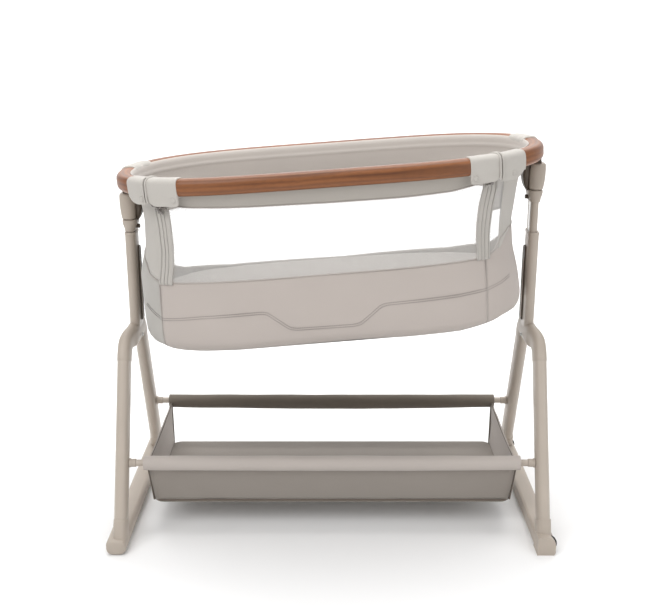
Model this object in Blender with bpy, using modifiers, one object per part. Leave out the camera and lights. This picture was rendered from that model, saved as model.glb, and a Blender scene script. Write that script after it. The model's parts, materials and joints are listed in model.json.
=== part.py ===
"""Bedside bassinet on a stand, at real size: +X runs along its length, -Y is the front, +Z is up,
and the origin is on the floor under the middle of the stand.

The cradle hangs on two posts that slide in the stand. It is drawn with the left post at its lowest
click and the right post two clicks up. The front side of the cradle is a gate that folds down."""

from math import acos, asin, atan2, copysign, cos, pi, radians, sin

import bmesh
import bpy
from mathutils import Vector

# Stand
FOOT_OUTER_X = 0.472
RAIL_WIDTH = 0.038
RAIL_HEIGHT = 0.031
RAIL_LENGTH = 0.545
PAD_THICKNESS = 0.002
LEG_X = 0.446
LEG_WIDTH = 0.028
LEG_DEPTH = 0.045
LEG_FOOT_Y = 0.2345
LEG_FOOT_Z = 0.036
SOCKET_TOP_Z = 0.060
CROWN_Z = 0.408
CROWN_FLAT_Y = 0.047
CROWN_RADIUS = 0.055
CROWN_DEPTH = 0.043
CROWN_LIP = 0.006
TUBE_WALL = 0.0015
GAP = 0.0004

# Wheels in the right foot rail, which turn about an axis along Y
WHEEL_X = 0.4555
WHEEL_Y = 0.2525
WHEEL_Z = 0.0185
WHEEL_RADIUS = 0.0165
WHEEL_WIDTH = 0.012
WHEEL_CLEARANCE = 0.0015
AXLE_RADIUS = 0.003
AXLE_HALF = 0.0095
HOUSING_LENGTH = 0.042
HOUSING_ROUNDING = 0.020

# Posts
POST_X = 0.4348
SLEEVE_WIDTH = 0.022
SLEEVE_DEPTH = 0.058
SLEEVE_BOTTOM_Z = 0.399
SLEEVE_TOP_Z = 0.632
INNER_WIDTH = 0.016
INNER_DEPTH = 0.050
INNER_TOP = -0.0165
COLLAR_WIDTH = 0.030
COLLAR_DEPTH = 0.060
COLLAR_HEIGHT = 0.027
BUTTON_RADIUS = 0.0048
BUTTON_LENGTH = 0.0080
BUTTON_REACH = 0.0150
BUTTON_RISE = 0.0095
HEAD_WIDTH = 0.034
HEAD_DEPTH = 0.062
HEAD_HEIGHT = 0.056
PIVOT_TO_COLLAR = 0.071
PIN_RADIUS = 0.0035
PIN_LENGTH = 0.056
BACKING_Z = (0.4320, 0.6000)
BACKING_HALF_WIDTH = 0.0255
BACKING_ROUNDING = 0.016
BACKING_THICKNESS = 0.0025
CLICK = 0.032

# Cradle, in its own frame: u along, v across, w up from the middle of its underside
PIVOT_Z = 0.706
PIVOT_SPAN = 0.8708
PIVOT_W = 0.2945
BRACKET_DEPTH = 0.040
BRACKET_HALF_WIDTH = 0.0095
TILT = asin(2 * CLICK / PIVOT_SPAN)
# An oval is its middle, half length, half width and the powers of its curve along and across
RIM_OVAL = (-0.002, 0.434, 0.216, 4.0, 2.1)
RIM_W = 0.339
RIM_STATIONS = 48
RIM_END_STEP = 0.003
RIM_GAP_ANGLE = 0.005
GATE_GAP_ANGLE = 0.003
TRIM_WIDTH = 0.032
TRIM_HEIGHT = 0.034
TRIM_WALL = 0.003
TRIM_SLIT = 0.002
TRIM_ROUNDING = 0.006
WRAP_WIDTH = 0.0335
WRAP_HEIGHT = 0.040
WRAP_WALL = 0.003
WRAP_SLIT = 0.004
WRAP_ROUNDING = 0.0075
WRAP_DROP = 0.0025
CORE_WIDTH = 0.0230
CORE_HEIGHT = 0.0250
CORE_SLIT = 0.001
# Where the rim's pieces meet: left and right u on the front, and v at the back of each end
SPLIT_U = (-0.3565, 0.3251)
GATE_TRIM_U = (-0.2972, 0.2696)
FRONT_WRAP_U = (-0.3923, 0.3722)
REAR_WRAP_LEFT_V = (0.0250, 0.1012)
REAR_WRAP_RIGHT_V = (0.0285, 0.0964)
PANEL_TOP_W = 0.148
WALL_FOOT_W = 0.1496
GATE_FOOT_W = 0.152
WALL_TOP_W = 0.316
WALL_THICKNESS = 0.003
# Heights of the fabric tub, each with its oval there
TUB_SECTIONS = (
    (0.000, -0.018, 0.365, 0.180, 3.4, 3.4),
    (0.006, -0.018, 0.388, 0.200, 3.4, 3.4),
    (0.022, -0.018, 0.402, 0.212, 3.4, 3.4),
    (0.050, -0.0163, 0.4038, 0.2165, 3.4, 3.4),
    (0.100, -0.0185, 0.4015, 0.2165, 3.4, 3.4),
    (0.148, -0.0230, 0.3965, 0.213, 3.4, 3.4),
    (0.200, -0.015, 0.389, 0.2095, 3.6, 3.0),
    (0.260, -0.007, 0.394, 0.2075, 3.8, 2.6),
    (0.300, -0.004, 0.402, 0.2075, 4.0, 2.3),
    (0.316, -0.003, 0.413, 0.2085, 4.0, 2.2),
)
BOARD_W = (0.0065, 0.0145)
MATTRESS_W = (0.0150, 0.0800)

# Seams of the tub's wall, each at its foot and at its top, and the hinge of the front gate
GATE_LEFT_U = (-0.356, -0.343)
GATE_RIGHT_U = (0.305, 0.3160)
CORNER_MESH_U = (0.327, 0.345)
REAR_MESH_LEFT_V = (0.120, 0.115)
REAR_MESH_RIGHT_V = (0.060, 0.060)
SEAM_GAP = 0.0007
GATE_HINGE_V = -0.222
GATE_HINGE_W = 0.150

# Storage basket
BAR_Y = 0.180
BAR_Z = 0.168
BAR_RADIUS = 0.007
BAR_HALF = 0.4165
SLEEVE_RADIUS = 0.0145
CONNECTOR_RADIUS = 0.0085
BASKET_HALF_X = 0.390
BASKET_HALF_Y = 0.152
BASKET_Z = 0.062
FABRIC = 0.003

COLOURS = {
    "beige_paint": ((0.60, 0.53, 0.47, 1), 0.45, 0.0),
    "beige_plastic": ((0.57, 0.50, 0.44, 1), 0.5, 0.0),
    "dark_plastic": ((0.10, 0.08, 0.065, 1), 0.5, 0.0),
    "bare_steel": ((0.62, 0.60, 0.58, 1), 0.35, 1.0),
    "black_rubber": ((0.03, 0.03, 0.03, 1), 0.7, 0.0),
    "wood_look_leather": ((0.24, 0.075, 0.028, 1), 0.45, 0.0),
    "light_fabric": ((0.62, 0.58, 0.54, 1), 0.85, 0.0),
    "panel_fabric": ((0.56, 0.50, 0.46, 1), 0.85, 0.0),
    "mattress_cover": ((0.48, 0.44, 0.40, 1), 0.85, 0.0),
    "mesh_fabric": ((0.90, 0.90, 0.89, 1), 0.8, 0.0),
    "basket_fabric": ((0.30, 0.26, 0.22, 1), 0.9, 0.0),
}


def clear_scene():
    for old in list(bpy.data.objects):
        bpy.data.objects.remove(old, do_unlink=True)


def collection(name, helper=False):
    made = bpy.data.collections.new(name)
    bpy.context.scene.collection.children.link(made)
    made.hide_render = helper
    return made


def material(name):
    found = bpy.data.materials.get(name)
    if found:
        return found
    colour, roughness, metallic = COLOURS[name]
    made = bpy.data.materials.new(name)
    made.use_nodes = True
    shader = made.node_tree.nodes["Principled BSDF"]
    shader.inputs["Base Color"].default_value = colour
    shader.inputs["Roughness"].default_value = roughness
    shader.inputs["Metallic"].default_value = metallic
    made.diffuse_color = colour
    return made


def add(name, data, slot, at=(0, 0, 0), turn=(0, 0, 0), parent=None):
    """A sub-part as an object in the bassinet's collection."""
    made = bpy.data.objects.new(name, data)
    data.materials.append(material(slot))
    made.location = at
    made.rotation_euler = turn
    made.parent = parent
    PARTS.objects.link(made)
    return made


def as_cutter(obj):
    PARTS.objects.unlink(obj)
    CUTTERS.objects.link(obj)
    obj.hide_render = True
    obj.display_type = "WIRE"
    return obj


def empty(name, at, turn=(0, 0, 0), parent=None):
    made = bpy.data.objects.new(name, None)
    made.location = at
    made.rotation_euler = turn
    made.parent = parent
    PARTS.objects.link(made)
    return made


def rounded_rectangle(width, height, radius, steps=3):
    """Corner arcs run counter-clockwise from the lower right corner."""
    points = []
    corners = ((1, -1, -0.5), (1, 1, 0), (-1, 1, 0.5), (-1, -1, 1))
    for side_x, side_y, start in corners:
        centre = Vector((side_x * (width / 2 - radius), side_y * (height / 2 - radius)))
        for step in range(steps + 1):
            angle = pi * (start + 0.5 * step / steps)
            points.append(centre + radius * Vector((cos(angle), sin(angle))))
    return points


def stadium(width, depth, steps=4):
    return rounded_rectangle(width, depth, min(width, depth) / 2 - 1e-5, steps)


def flat_curve(name, loops):
    data = bpy.data.curves.new(name, "CURVE")
    data.dimensions = "2D"
    for loop in loops:
        spline = data.splines.new("POLY")
        spline.points.add(len(loop) - 1)
        for point, place in zip(spline.points, loop):
            point.co = (place[0], place[1], 0, 1)
        spline.use_cyclic_u = True
    return data


def prism(name, loops, height, slot, at, turn=(0, 0, 0), parent=None):
    """A flat outline, with any holes, given a height about its own plane."""
    data = flat_curve(name, loops)
    data.fill_mode = "BOTH"
    data.extrude = height / 2
    return add(name, data, slot, at, turn, parent)


def column(name, loops, height, slot, base, parent=None):
    """A prism that stands upright on a base point."""
    x, y, z = base
    return prism(name, loops, height, slot, (x, y, z + height / 2), parent=parent)


def sweep(name, profile, path, slot, at=(0, 0, 0), parent=None):
    """A closed profile carried along a path, with its own +Y kept upward."""
    shape = bpy.data.objects.new(name + "_profile", flat_curve(name + "_profile", [profile[::-1]]))
    CUTTERS.objects.link(shape)
    shape.hide_render = True
    shape.display_type = "WIRE"
    data = bpy.data.curves.new(name, "CURVE")
    data.dimensions = "3D"
    data.twist_mode = "Z_UP"
    data.bevel_mode = "OBJECT"
    data.bevel_object = shape
    data.use_fill_caps = True
    spline = data.splines.new("POLY")
    spline.points.add(len(path) - 1)
    for point, place in zip(spline.points, path):
        point.co = (*place, 1)
    return add(name, data, slot, at, parent=parent)


def rod(name, radius, length, slot, at, turn=(0, 0, 0), parent=None, bore=0.0, sides=16):
    circle = [(radius * cos(2 * pi * i / sides), radius * sin(2 * pi * i / sides)) for i in range(sides)]
    loops = [circle]
    if bore:
        loops.append([(x * bore / radius, y * bore / radius) for x, y in circle])
    return prism(name, loops, length, slot, at, turn, parent)


def as_mesh(obj):
    """The same object as a mesh with its caps welded on, ready for Booleans."""
    bpy.context.view_layer.update()
    graph = bpy.context.evaluated_depsgraph_get()
    mesh = bpy.data.meshes.new_from_object(obj.evaluated_get(graph))
    shape = bmesh.new()
    shape.from_mesh(mesh)
    bmesh.ops.remove_doubles(shape, verts=shape.verts, dist=1e-6)
    bmesh.ops.recalc_face_normals(shape, faces=shape.faces)
    shape.to_mesh(mesh)
    shape.free()
    name, parent, world = obj.name, obj.parent, obj.matrix_world.copy()
    bpy.data.objects.remove(obj, do_unlink=True)
    made = bpy.data.objects.new(name, mesh)
    PARTS.objects.link(made)
    made.parent = parent
    made.matrix_world = world
    return made


def boolean(obj, other, operation):
    cut = obj.modifiers.new(other.name, "BOOLEAN")
    cut.object = as_cutter(as_mesh(other))
    cut.operation = operation
    cut.solver = "EXACT"


def cut(obj, other):
    boolean(obj, other, "DIFFERENCE")


def join(obj, other):
    boolean(obj, other, "UNION")


def rounded(obj, width, segments=2):
    bevel = obj.modifiers.new("rounded", "BEVEL")
    bevel.width = width
    bevel.segments = segments
    bevel.limit_method = "ANGLE"
    bevel.angle_limit = radians(50)


def block(name, size, slot, at, parent=None):
    shape = bmesh.new()
    bmesh.ops.create_cube(shape, size=1)
    bmesh.ops.scale(shape, vec=size, verts=shape.verts)
    mesh = bpy.data.meshes.new(name)
    shape.to_mesh(mesh)
    shape.free()
    return add(name, mesh, slot, at, parent=parent)


# ---------------------------------------------------------------- stand


def leg_frame():
    """Where a front leg meets its crown, the angle it leans by and its direction, in Y and Z."""
    lean = radians(68)
    for _ in range(8):
        top = Vector((CROWN_FLAT_Y + CROWN_RADIUS * sin(lean), CROWN_Z - CROWN_RADIUS * (1 - cos(lean))))
        drop = top - Vector((LEG_FOOT_Y, LEG_FOOT_Z))
        lean = atan2(drop.y, -drop.x)
    return top, pi / 2 - lean, drop.normalized()


def leg_point(end, height):
    """A point on a leg's centre line at this height, for the front (-1) or rear (+1) leg."""
    top, _, direction = leg_frame()
    return end * (top.x + (height - top.y) * direction.x / direction.y)


def leg(side, end):
    top, lean, direction = leg_frame()
    name = f"leg_{'front' if end < 0 else 'rear'}_{'left' if side < 0 else 'right'}"
    start = SOCKET_TOP_Z + GAP
    loops = [
        stadium(LEG_WIDTH, LEG_DEPTH),
        stadium(LEG_WIDTH - 2 * TUBE_WALL, LEG_DEPTH - 2 * TUBE_WALL),
    ]
    length = (top.y - start) / direction.y - CROWN_LIP - GAP
    middle = Vector((leg_point(end, start), start)) + Vector((end * direction.x, direction.y)) * length / 2
    prism(name, loops, length, "beige_paint", (side * LEG_X, *middle), (end * lean, 0, 0))


def leg_plug(name, side, end, loop, low, high):
    """A piece on a leg's centre line between two heights, for sockets and spigots."""
    _, lean, direction = leg_frame()
    length = (high - low) / direction.y
    middle = (low + high) / 2
    at = (side * LEG_X, leg_point(end, middle), middle)
    return prism(name, [loop], length, "beige_plastic", at, (end * lean, 0, 0))


def crown(side):
    """The moulding that joins two legs and holds the post: an inverted U with a spigot in each leg."""
    top, lean, direction = leg_frame()
    name = f"crown_{'left' if side < 0 else 'right'}"
    steps = 5
    turned = pi / 2 - lean
    arm = [(0.0, CROWN_Z), (0.024, CROWN_Z)]
    for step in range(steps + 1):
        angle = turned * step / steps
        arm.append((CROWN_FLAT_Y + CROWN_RADIUS * sin(angle), CROWN_Z - CROWN_RADIUS * (1 - cos(angle))))
    arm.append((top.x - CROWN_LIP * direction.x, top.y - CROWN_LIP * direction.y))
    outline = [(-y, z) for y, z in reversed(arm[1:])] + arm
    path = []
    for y, z in outline:
        blend = min(max((abs(y) - 0.030) / 0.050, 0), 1)
        outward = (LEG_X - POST_X) * blend * blend * (3 - 2 * blend)
        path.append((side * (POST_X + outward), y, z))
    made = as_mesh(sweep(name, stadium(LEG_WIDTH, CROWN_DEPTH, 3), path, "beige_plastic"))
    pocket = stadium(SLEEVE_WIDTH + 2 * GAP, SLEEVE_DEPTH + 2 * GAP)
    hole = column(name + "_pocket", [pocket], 0.08, "beige_plastic", (side * POST_X, 0, SLEEVE_BOTTOM_Z - GAP))
    cut(made, hole)
    inside = stadium(LEG_WIDTH - 2 * TUBE_WALL - 2 * GAP, CROWN_DEPTH - 2 * TUBE_WALL - 2 * GAP)
    for end in (-1, 1):
        join(made, leg_plug(f"{name}_spigot_{end}", side, end, inside, top.y - 0.030, top.y + 0.002))


def foot_rail(side):
    name = f"foot_rail_{'left' if side < 0 else 'right'}"
    middle_x = side * (FOOT_OUTER_X - RAIL_WIDTH / 2) if side < 0 else 0.448
    size = (RAIL_WIDTH, RAIL_LENGTH, RAIL_HEIGHT - PAD_THICKNESS if side < 0 else RAIL_HEIGHT)
    base = PAD_THICKNESS + GAP if side < 0 else 0.0
    made = block(name, size, "beige_plastic", (middle_x, 0, base + size[2] / 2))
    rounded(made, 0.006)
    inside = stadium(LEG_WIDTH - 2 * TUBE_WALL - 2 * GAP, LEG_DEPTH - 2 * TUBE_WALL - 2 * GAP)
    for end in (-1, 1):
        if side > 0:
            wheel_housing(made, end)
        socket = leg_plug(f"{name}_socket_{end}", side, end, stadium(0.0305, 0.0475), 0.012, SOCKET_TOP_Z)
        join(made, socket)
        join(made, leg_plug(f"{name}_spigot_{end}", side, end, inside, 0.050, SOCKET_TOP_Z + 0.028))
        if side > 0:
            wheel_well(made, end)


def wheel_housing(rail, end):
    """A taller block at the end of the right rail, rounded over on its outer side."""
    outline = [(0.4285, 0.0), (0.4640, 0.0), (0.4665, 0.0060)]
    for step in range(7):
        angle = pi / 2 * step / 6
        outline.append((0.4465 + HOUSING_ROUNDING * cos(angle), 0.021 + HOUSING_ROUNDING * sin(angle)))
    outline += [(0.4345, 0.041), (0.4295, 0.0375)]
    at = (0, end * (RAIL_LENGTH - HOUSING_LENGTH) / 2, 0)
    join(rail, prism(f"housing_{end}", [outline], HOUSING_LENGTH, "beige_plastic", at, (pi / 2, 0, 0)))


def wheel_well(rail, end):
    """The slot a wheel sits in, open below and outward, and the holes for its axle."""
    clear = WHEEL_RADIUS + WHEEL_CLEARANCE
    slot = block(
        f"wheel_slot_{end}", (0.040, WHEEL_WIDTH + 0.002, 0.060), "beige_plastic",
        (WHEEL_X - clear + 0.020, end * WHEEL_Y, WHEEL_Z + clear - 0.030),
    )
    cut(rail, slot)
    hole = rod(f"axle_hole_{end}", AXLE_RADIUS + GAP, 2 * AXLE_HALF + 0.002, "beige_plastic",
               (WHEEL_X, end * WHEEL_Y, WHEEL_Z), (pi / 2, 0, 0))
    cut(rail, hole)


def wheel(end):
    """A turned wheel in one piece with its stub axle, lying along Y."""
    half = WHEEL_WIDTH / 2
    profile = (
        (0, AXLE_HALF), (AXLE_RADIUS, AXLE_HALF), (AXLE_RADIUS, half), (0.0135, half), (0.0158, half - 0.0008),
        (WHEEL_RADIUS, half - 0.003), (WHEEL_RADIUS, -half + 0.003), (0.0158, -half + 0.0008),
        (0.0135, -half), (AXLE_RADIUS, -half), (AXLE_RADIUS, -AXLE_HALF), (0, -AXLE_HALF),
    )
    mesh = bpy.data.meshes.new("wheel")
    places = [(x, 0, z) for x, z in profile]
    mesh.from_pydata(places, [(i, i + 1) for i in range(len(places) - 1)], [])
    name = "wheel_front" if end < 0 else "wheel_rear"
    made = add(name, mesh, "black_rubber", (WHEEL_X, end * WHEEL_Y, WHEEL_Z), (pi / 2, 0, 0))
    turn = made.modifiers.new("turned", "SCREW")
    turn.steps = 18
    turn.render_steps = 18
    turn.use_merge_vertices = True
    turn.merge_threshold = 0.0001


def foot_pad(end):
    name = f"foot_pad_{'front' if end < 0 else 'rear'}"
    at = (-FOOT_OUTER_X + RAIL_WIDTH / 2, end * (RAIL_LENGTH / 2 - 0.034), 0)
    column(name, [rounded_rectangle(0.026, 0.044, 0.006)], PAD_THICKNESS, "black_rubber", at)


def post_sleeve(side):
    name = f"post_sleeve_{'left' if side < 0 else 'right'}"
    loops = [
        stadium(SLEEVE_WIDTH, SLEEVE_DEPTH),
        stadium(SLEEVE_WIDTH - 2 * TUBE_WALL, SLEEVE_DEPTH - 2 * TUBE_WALL),
    ]
    height = SLEEVE_TOP_Z - SLEEVE_BOTTOM_Z
    column(name, loops, height, "beige_paint", (side * POST_X, 0, SLEEVE_BOTTOM_Z))


def guide_cap(side):
    """The plastic lip on the sleeve that guides the inner tube. Its hole is long enough in X for
    the few millimetres that the right post shifts as the cradle levels."""
    name = f"guide_cap_{'left' if side < 0 else 'right'}"
    slack = 0.0008 if side < 0 else 0.0030
    loops = [
        stadium(SLEEVE_WIDTH, SLEEVE_DEPTH),
        rounded_rectangle(INNER_WIDTH + slack, INNER_DEPTH + 0.0008, INNER_WIDTH / 2),
    ]
    column(name, loops, 0.0020, "beige_plastic", (side * POST_X, 0, SLEEVE_TOP_Z + GAP))


def backing_plate(side):
    """The dark channel on the sleeve's inner face that stiffens it above the crown."""
    name = f"post_backing_{'left' if side < 0 else 'right'}"
    low, high = BACKING_Z
    half, turn = BACKING_HALF_WIDTH, BACKING_ROUNDING
    outline = [(0.0, low), (half, low), (half, high - turn)]
    for step in range(1, 5):
        angle = pi / 2 * step / 4
        outline.append((half - turn + turn * cos(angle), high - turn + turn * sin(angle)))
    outline.append((0.0, high))
    middle = POST_X - SLEEVE_WIDTH / 2 - GAP - BACKING_THICKNESS / 2
    prism(name, [outline], BACKING_THICKNESS, "dark_plastic", (side * middle, 0, 0), (pi / 2, 0, pi / 2))


# ---------------------------------------------------------------- posts


def post(side, parent):
    """Everything on one sliding post, measured from its pivot."""
    word = "left" if side < 0 else "right"
    collar_low = -PIVOT_TO_COLLAR
    tube_low = SLEEVE_BOTTOM_Z - PIVOT_Z + 0.002
    loops = [
        stadium(INNER_WIDTH, INNER_DEPTH),
        stadium(INNER_WIDTH - 2 * TUBE_WALL, INNER_DEPTH - 2 * TUBE_WALL),
    ]
    column(f"inner_tube_{word}", loops, INNER_TOP - tube_low, "beige_paint", (0, 0, tube_low), parent)
    collar(word, side, collar_low, parent)
    head(word, side, collar_low + COLLAR_HEIGHT + GAP, parent)
    rod(f"pivot_pin_{word}", PIN_RADIUS, PIN_LENGTH, "bare_steel", (0, 0, 0), (pi / 2, 0, 0), parent)
    rod(f"release_button_{word}", BUTTON_RADIUS, BUTTON_LENGTH, "dark_plastic",
        (-side * BUTTON_REACH, 0, collar_low + BUTTON_RISE), (0, pi / 2, 0), parent)


def collar(word, side, low, parent):
    """The tapered ring that holds the height catch, with a hole for its button."""
    name = f"collar_{word}"
    outer = rounded_rectangle(COLLAR_WIDTH, COLLAR_DEPTH, 0.0130)
    made = as_mesh(column(name, [outer], COLLAR_HEIGHT, "beige_plastic", (0, 0, low), parent))
    for vertex in made.data.vertices:
        if vertex.co.z < 0:
            vertex.co.x *= 0.84
            vertex.co.y *= 0.93
    rounded(made, 0.0022)
    hole = stadium(INNER_WIDTH + 2 * GAP, INNER_DEPTH + 2 * GAP)
    cut(made, column(f"{name}_hole", [hole], 2 * COLLAR_HEIGHT, "beige_plastic", (0, 0, low - 0.0135), parent))
    bore = rod(f"{name}_bore", BUTTON_RADIUS + 0.0006, 0.020, "beige_plastic",
               (-side * BUTTON_REACH, 0, low + BUTTON_RISE), (0, pi / 2, 0), parent)
    cut(made, bore)


def head(word, side, low, parent):
    """The shell over the pivot: blind pocket for the inner tube, slot for the rim bracket."""
    name = f"head_{word}"
    outline = rounded_rectangle(HEAD_WIDTH, HEAD_DEPTH, 0.0140)
    made = as_mesh(column(name, [outline], HEAD_HEIGHT, "beige_plastic", (side * 0.003, 0, low), parent))
    rounded(made, 0.0030)
    pocket = stadium(INNER_WIDTH + 2 * GAP, INNER_DEPTH + 2 * GAP)
    depth = 0.060
    base = (0, 0, INNER_TOP + 0.0005 - depth)
    cut(made, column(f"{name}_pocket", [pocket], depth, "beige_plastic", base, parent))
    size = 0.040
    slot = block(f"{name}_slot", (size, BRACKET_DEPTH + 4 * GAP, size), "beige_plastic",
                 (-side * (size / 2 - 0.0112), 0, size / 2 - 0.0145), parent)
    cut(made, slot)
    bore = rod(f"{name}_bore", PIN_RADIUS + 0.0003, PIN_LENGTH + 0.002, "beige_plastic",
               (0, 0, 0), (pi / 2, 0, 0), parent)
    cut(made, bore)


# ---------------------------------------------------------------- cradle


def oval_point(oval, angle):
    middle, half_length, half_width, along, across = oval
    c, s = cos(angle), sin(angle)
    u = middle + half_length * copysign(abs(c) ** (2 / along), c)
    v = half_width * copysign(abs(s) ** (2 / across), s)
    return u, v


def oval_angle(oval, where, place):
    """The angle where an oval passes a place: a u on its "front", or a v at the back of its "left"
    or "right" end."""
    middle, half_length, half_width, along, across = oval
    if where == "front":
        share = (place - middle) / half_length
        return -acos(copysign(abs(share) ** (along / 2), share))
    angle = asin((place / half_width) ** (across / 2))
    return angle if where == "right" else pi - angle


def rim_angle(where, place):
    return oval_angle(RIM_OVAL, where, place)


def rim_path(start, end, height):
    """Points along the rim's centre line. Every piece uses the same stations, so that pieces around
    each other bend alike, and a short first and last step keeps the end faces square."""
    station = 2 * pi / RIM_STATIONS
    first = int(start / station) - 1
    between = [station * k for k in range(first, first + 2 * RIM_STATIONS)]
    margin = 0.3 * station
    angles = [start, start + RIM_END_STEP]
    angles += [angle for angle in between if start + margin < angle < end - margin]
    angles += [end - RIM_END_STEP, end]
    return [(*oval_point(RIM_OVAL, angle), height) for angle in angles]


def channel(width, height, wall, slit, radius=0.0):
    """A box section left open by a slit along the middle of its underside."""
    half, low = slit / 2, -height / 2
    side, top = width / 2 - wall, height / 2 - wall
    outside = [(width / 2, low), (width / 2, -low), (-width / 2, -low), (-width / 2, low)]
    if radius:
        outside = [tuple(point) for point in rounded_rectangle(width, height, radius, 2)]
    inside = [(-side, low + wall), (-side, top), (side, top), (side, low + wall)]
    return [(half, low), *outside, (-half, low), (-half, low + wall), *inside, (half, low + wall)]


def rim_core(name, start, end, parent, at=(0, 0, 0)):
    profile = channel(CORE_WIDTH, CORE_HEIGHT, TUBE_WALL, CORE_SLIT)
    sweep(name, profile, rim_path(start, end, RIM_W), "bare_steel", at, parent)


def rim_trim(name, start, end, parent, at=(0, 0, 0)):
    profile = channel(TRIM_WIDTH, TRIM_HEIGHT, TRIM_WALL, TRIM_SLIT, TRIM_ROUNDING)
    sweep(name, profile, rim_path(start, end, RIM_W), "wood_look_leather", at, parent)


def rim_wrap(name, start, end, parent, at=(0, 0, 0)):
    profile = channel(WRAP_WIDTH, WRAP_HEIGHT, WRAP_WALL, WRAP_SLIT, WRAP_ROUNDING)
    sweep(name, profile, rim_path(start, end, RIM_W - WRAP_DROP), "light_fabric", at, parent)


def fixed_rim(parent):
    """The C of the rim that stays on the cradle: core tube, three trims and four corner wraps."""
    gap = RIM_GAP_ANGLE
    split_left, split_right = (rim_angle("front", u) for u in SPLIT_U)
    wrap_left, wrap_right = (rim_angle("front", u) for u in FRONT_WRAP_U)
    near_left, far_left = (rim_angle("left", v) for v in REAR_WRAP_LEFT_V)
    near_right, far_right = (rim_angle("right", v) for v in REAR_WRAP_RIGHT_V)
    wrap_left += 2 * pi
    split_left += 2 * pi
    rim_core("rim_tube", split_right, split_left, parent)
    rim_wrap("wrap_front_right", split_right + gap, wrap_right, parent)
    rim_trim("rim_trim_right", wrap_right + gap, near_right - gap, parent)
    rim_wrap("wrap_rear_right", near_right, far_right, parent)
    rim_trim("rim_trim_rear", far_right + gap, far_left - gap, parent)
    rim_wrap("wrap_rear_left", far_left, near_left, parent)
    rim_trim("rim_trim_left", near_left + gap, wrap_left - gap, parent)
    rim_wrap("wrap_front_left", wrap_left, split_left - gap, parent)


def gate_rim(parent, at):
    """The front stretch of the rim, which folds down with the gate."""
    gap = GATE_GAP_ANGLE
    split_left, split_right = (rim_angle("front", u) for u in SPLIT_U)
    trim_left, trim_right = (rim_angle("front", u) for u in GATE_TRIM_U)
    rim_core("gate_tube", split_left + 2 * gap, split_right - 2 * gap, parent, at)
    rim_wrap("gate_wrap_left", split_left + gap, trim_left - gap, parent, at)
    rim_trim("gate_trim", trim_left, trim_right, parent, at)
    rim_wrap("gate_wrap_right", trim_right + gap, split_right - gap, parent, at)


def tub_oval(height):
    """The tub's oval at a height, between the given sections."""
    for low, high in zip(TUB_SECTIONS, TUB_SECTIONS[1:]):
        if height <= high[0]:
            break
    share = (height - low[0]) / (high[0] - low[0])
    return [a + (b - a) * share for a, b in zip(low[1:], high[1:])]


def fabric_wall(name, rows, slot, at, parent):
    """A thickened sheet through rows of places, closed round when each row is a closed loop."""
    shape = bmesh.new()
    grid = [[shape.verts.new(place) for place in row] for row in rows]
    closed = rows[0][0] == rows[0][-1]
    for lower, upper in zip(grid, grid[1:]):
        for i in range(len(lower) - 1):
            shape.faces.new((lower[i], lower[i + 1], upper[i + 1], upper[i]))
    if closed:
        shape.faces.new(list(reversed(grid[0][:-1])))
        bmesh.ops.remove_doubles(shape, verts=shape.verts, dist=1e-6)
    mesh = bpy.data.meshes.new(name)
    shape.to_mesh(mesh)
    shape.free()
    thicken(add(name, mesh, slot, at, parent=parent), WALL_THICKNESS)


def wall_patch(name, heights, edges, columns, slot, parent, at=(0, 0, 0)):
    """A stretch of the tub's wall between two seams, counter-clockwise seen from above. Each seam
    is where it is, as for oval_angle, with its place at the foot and at the top."""
    low, high = heights[0], heights[-1]
    rows = []
    for height in heights:
        oval = tub_oval(height)
        share = (height - low) / (high - low)
        start, end = (oval_angle(oval, where, foot + (top - foot) * share) for where, foot, top in edges)
        if end < start:
            end += 2 * pi
        angles = [start + (end - start) * i / columns for i in range(columns + 1)]
        rows.append([(*oval_point(oval, angle), height) for angle in angles])
    fabric_wall(name, rows, slot, at, parent)


def thicken(obj, thickness):
    solid = obj.modifiers.new("thickness", "SOLIDIFY")
    solid.thickness = thickness
    solid.offset = -1


def tub_base(parent):
    """The lower panel and its floor, one cup of fabric."""
    around = 40
    heights = [section[0] for section in TUB_SECTIONS if section[0] <= PANEL_TOP_W]
    rows = []
    for height in heights:
        row = [(*oval_point(tub_oval(height), 2 * pi * i / around), height) for i in range(around)]
        rows.append(row + row[:1])
    fabric_wall("tub_base", rows, "panel_fabric", (0, 0, 0), parent)


def tub_walls(parent):
    heights = (WALL_FOOT_W, 0.200, 0.260, 0.300, WALL_TOP_W)
    gate = ("front", *(u + SEAM_GAP for u in GATE_RIGHT_U))
    corner, past_corner = ("front", *CORNER_MESH_U), ("front", *(u + SEAM_GAP for u in CORNER_MESH_U))
    rear_right, rear_left = ("right", *REAR_MESH_RIGHT_V), ("left", *REAR_MESH_LEFT_V)
    before_rear = ("right", *(v - SEAM_GAP for v in REAR_MESH_RIGHT_V))
    past_rear = ("left", *(v - SEAM_GAP for v in REAR_MESH_LEFT_V))
    left_gate = ("front", *(u - SEAM_GAP for u in GATE_LEFT_U))
    wall_patch("corner_mesh", heights, (gate, corner), 2, "mesh_fabric", parent)
    wall_patch("end_wall_right", heights, (past_corner, before_rear), 14, "light_fabric", parent)
    wall_patch("rear_mesh", heights, (rear_right, rear_left), 22, "mesh_fabric", parent)
    wall_patch("end_wall_left", heights, (past_rear, left_gate), 16, "light_fabric", parent)


def gate_panel(parent, at):
    heights = (GATE_FOOT_W, 0.200, 0.260, 0.300, WALL_TOP_W)
    edges = (("front", *GATE_LEFT_U), ("front", *GATE_RIGHT_U))
    wall_patch("gate_panel", heights, edges, 18, "mesh_fabric", parent, at)


def inset_outline(height, inset, around=36):
    middle, half_length, half_width, along, across = tub_oval(height)
    oval = (middle, half_length - inset, half_width - inset, along, across)
    return [oval_point(oval, 2 * pi * i / around) for i in range(around)]


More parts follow.
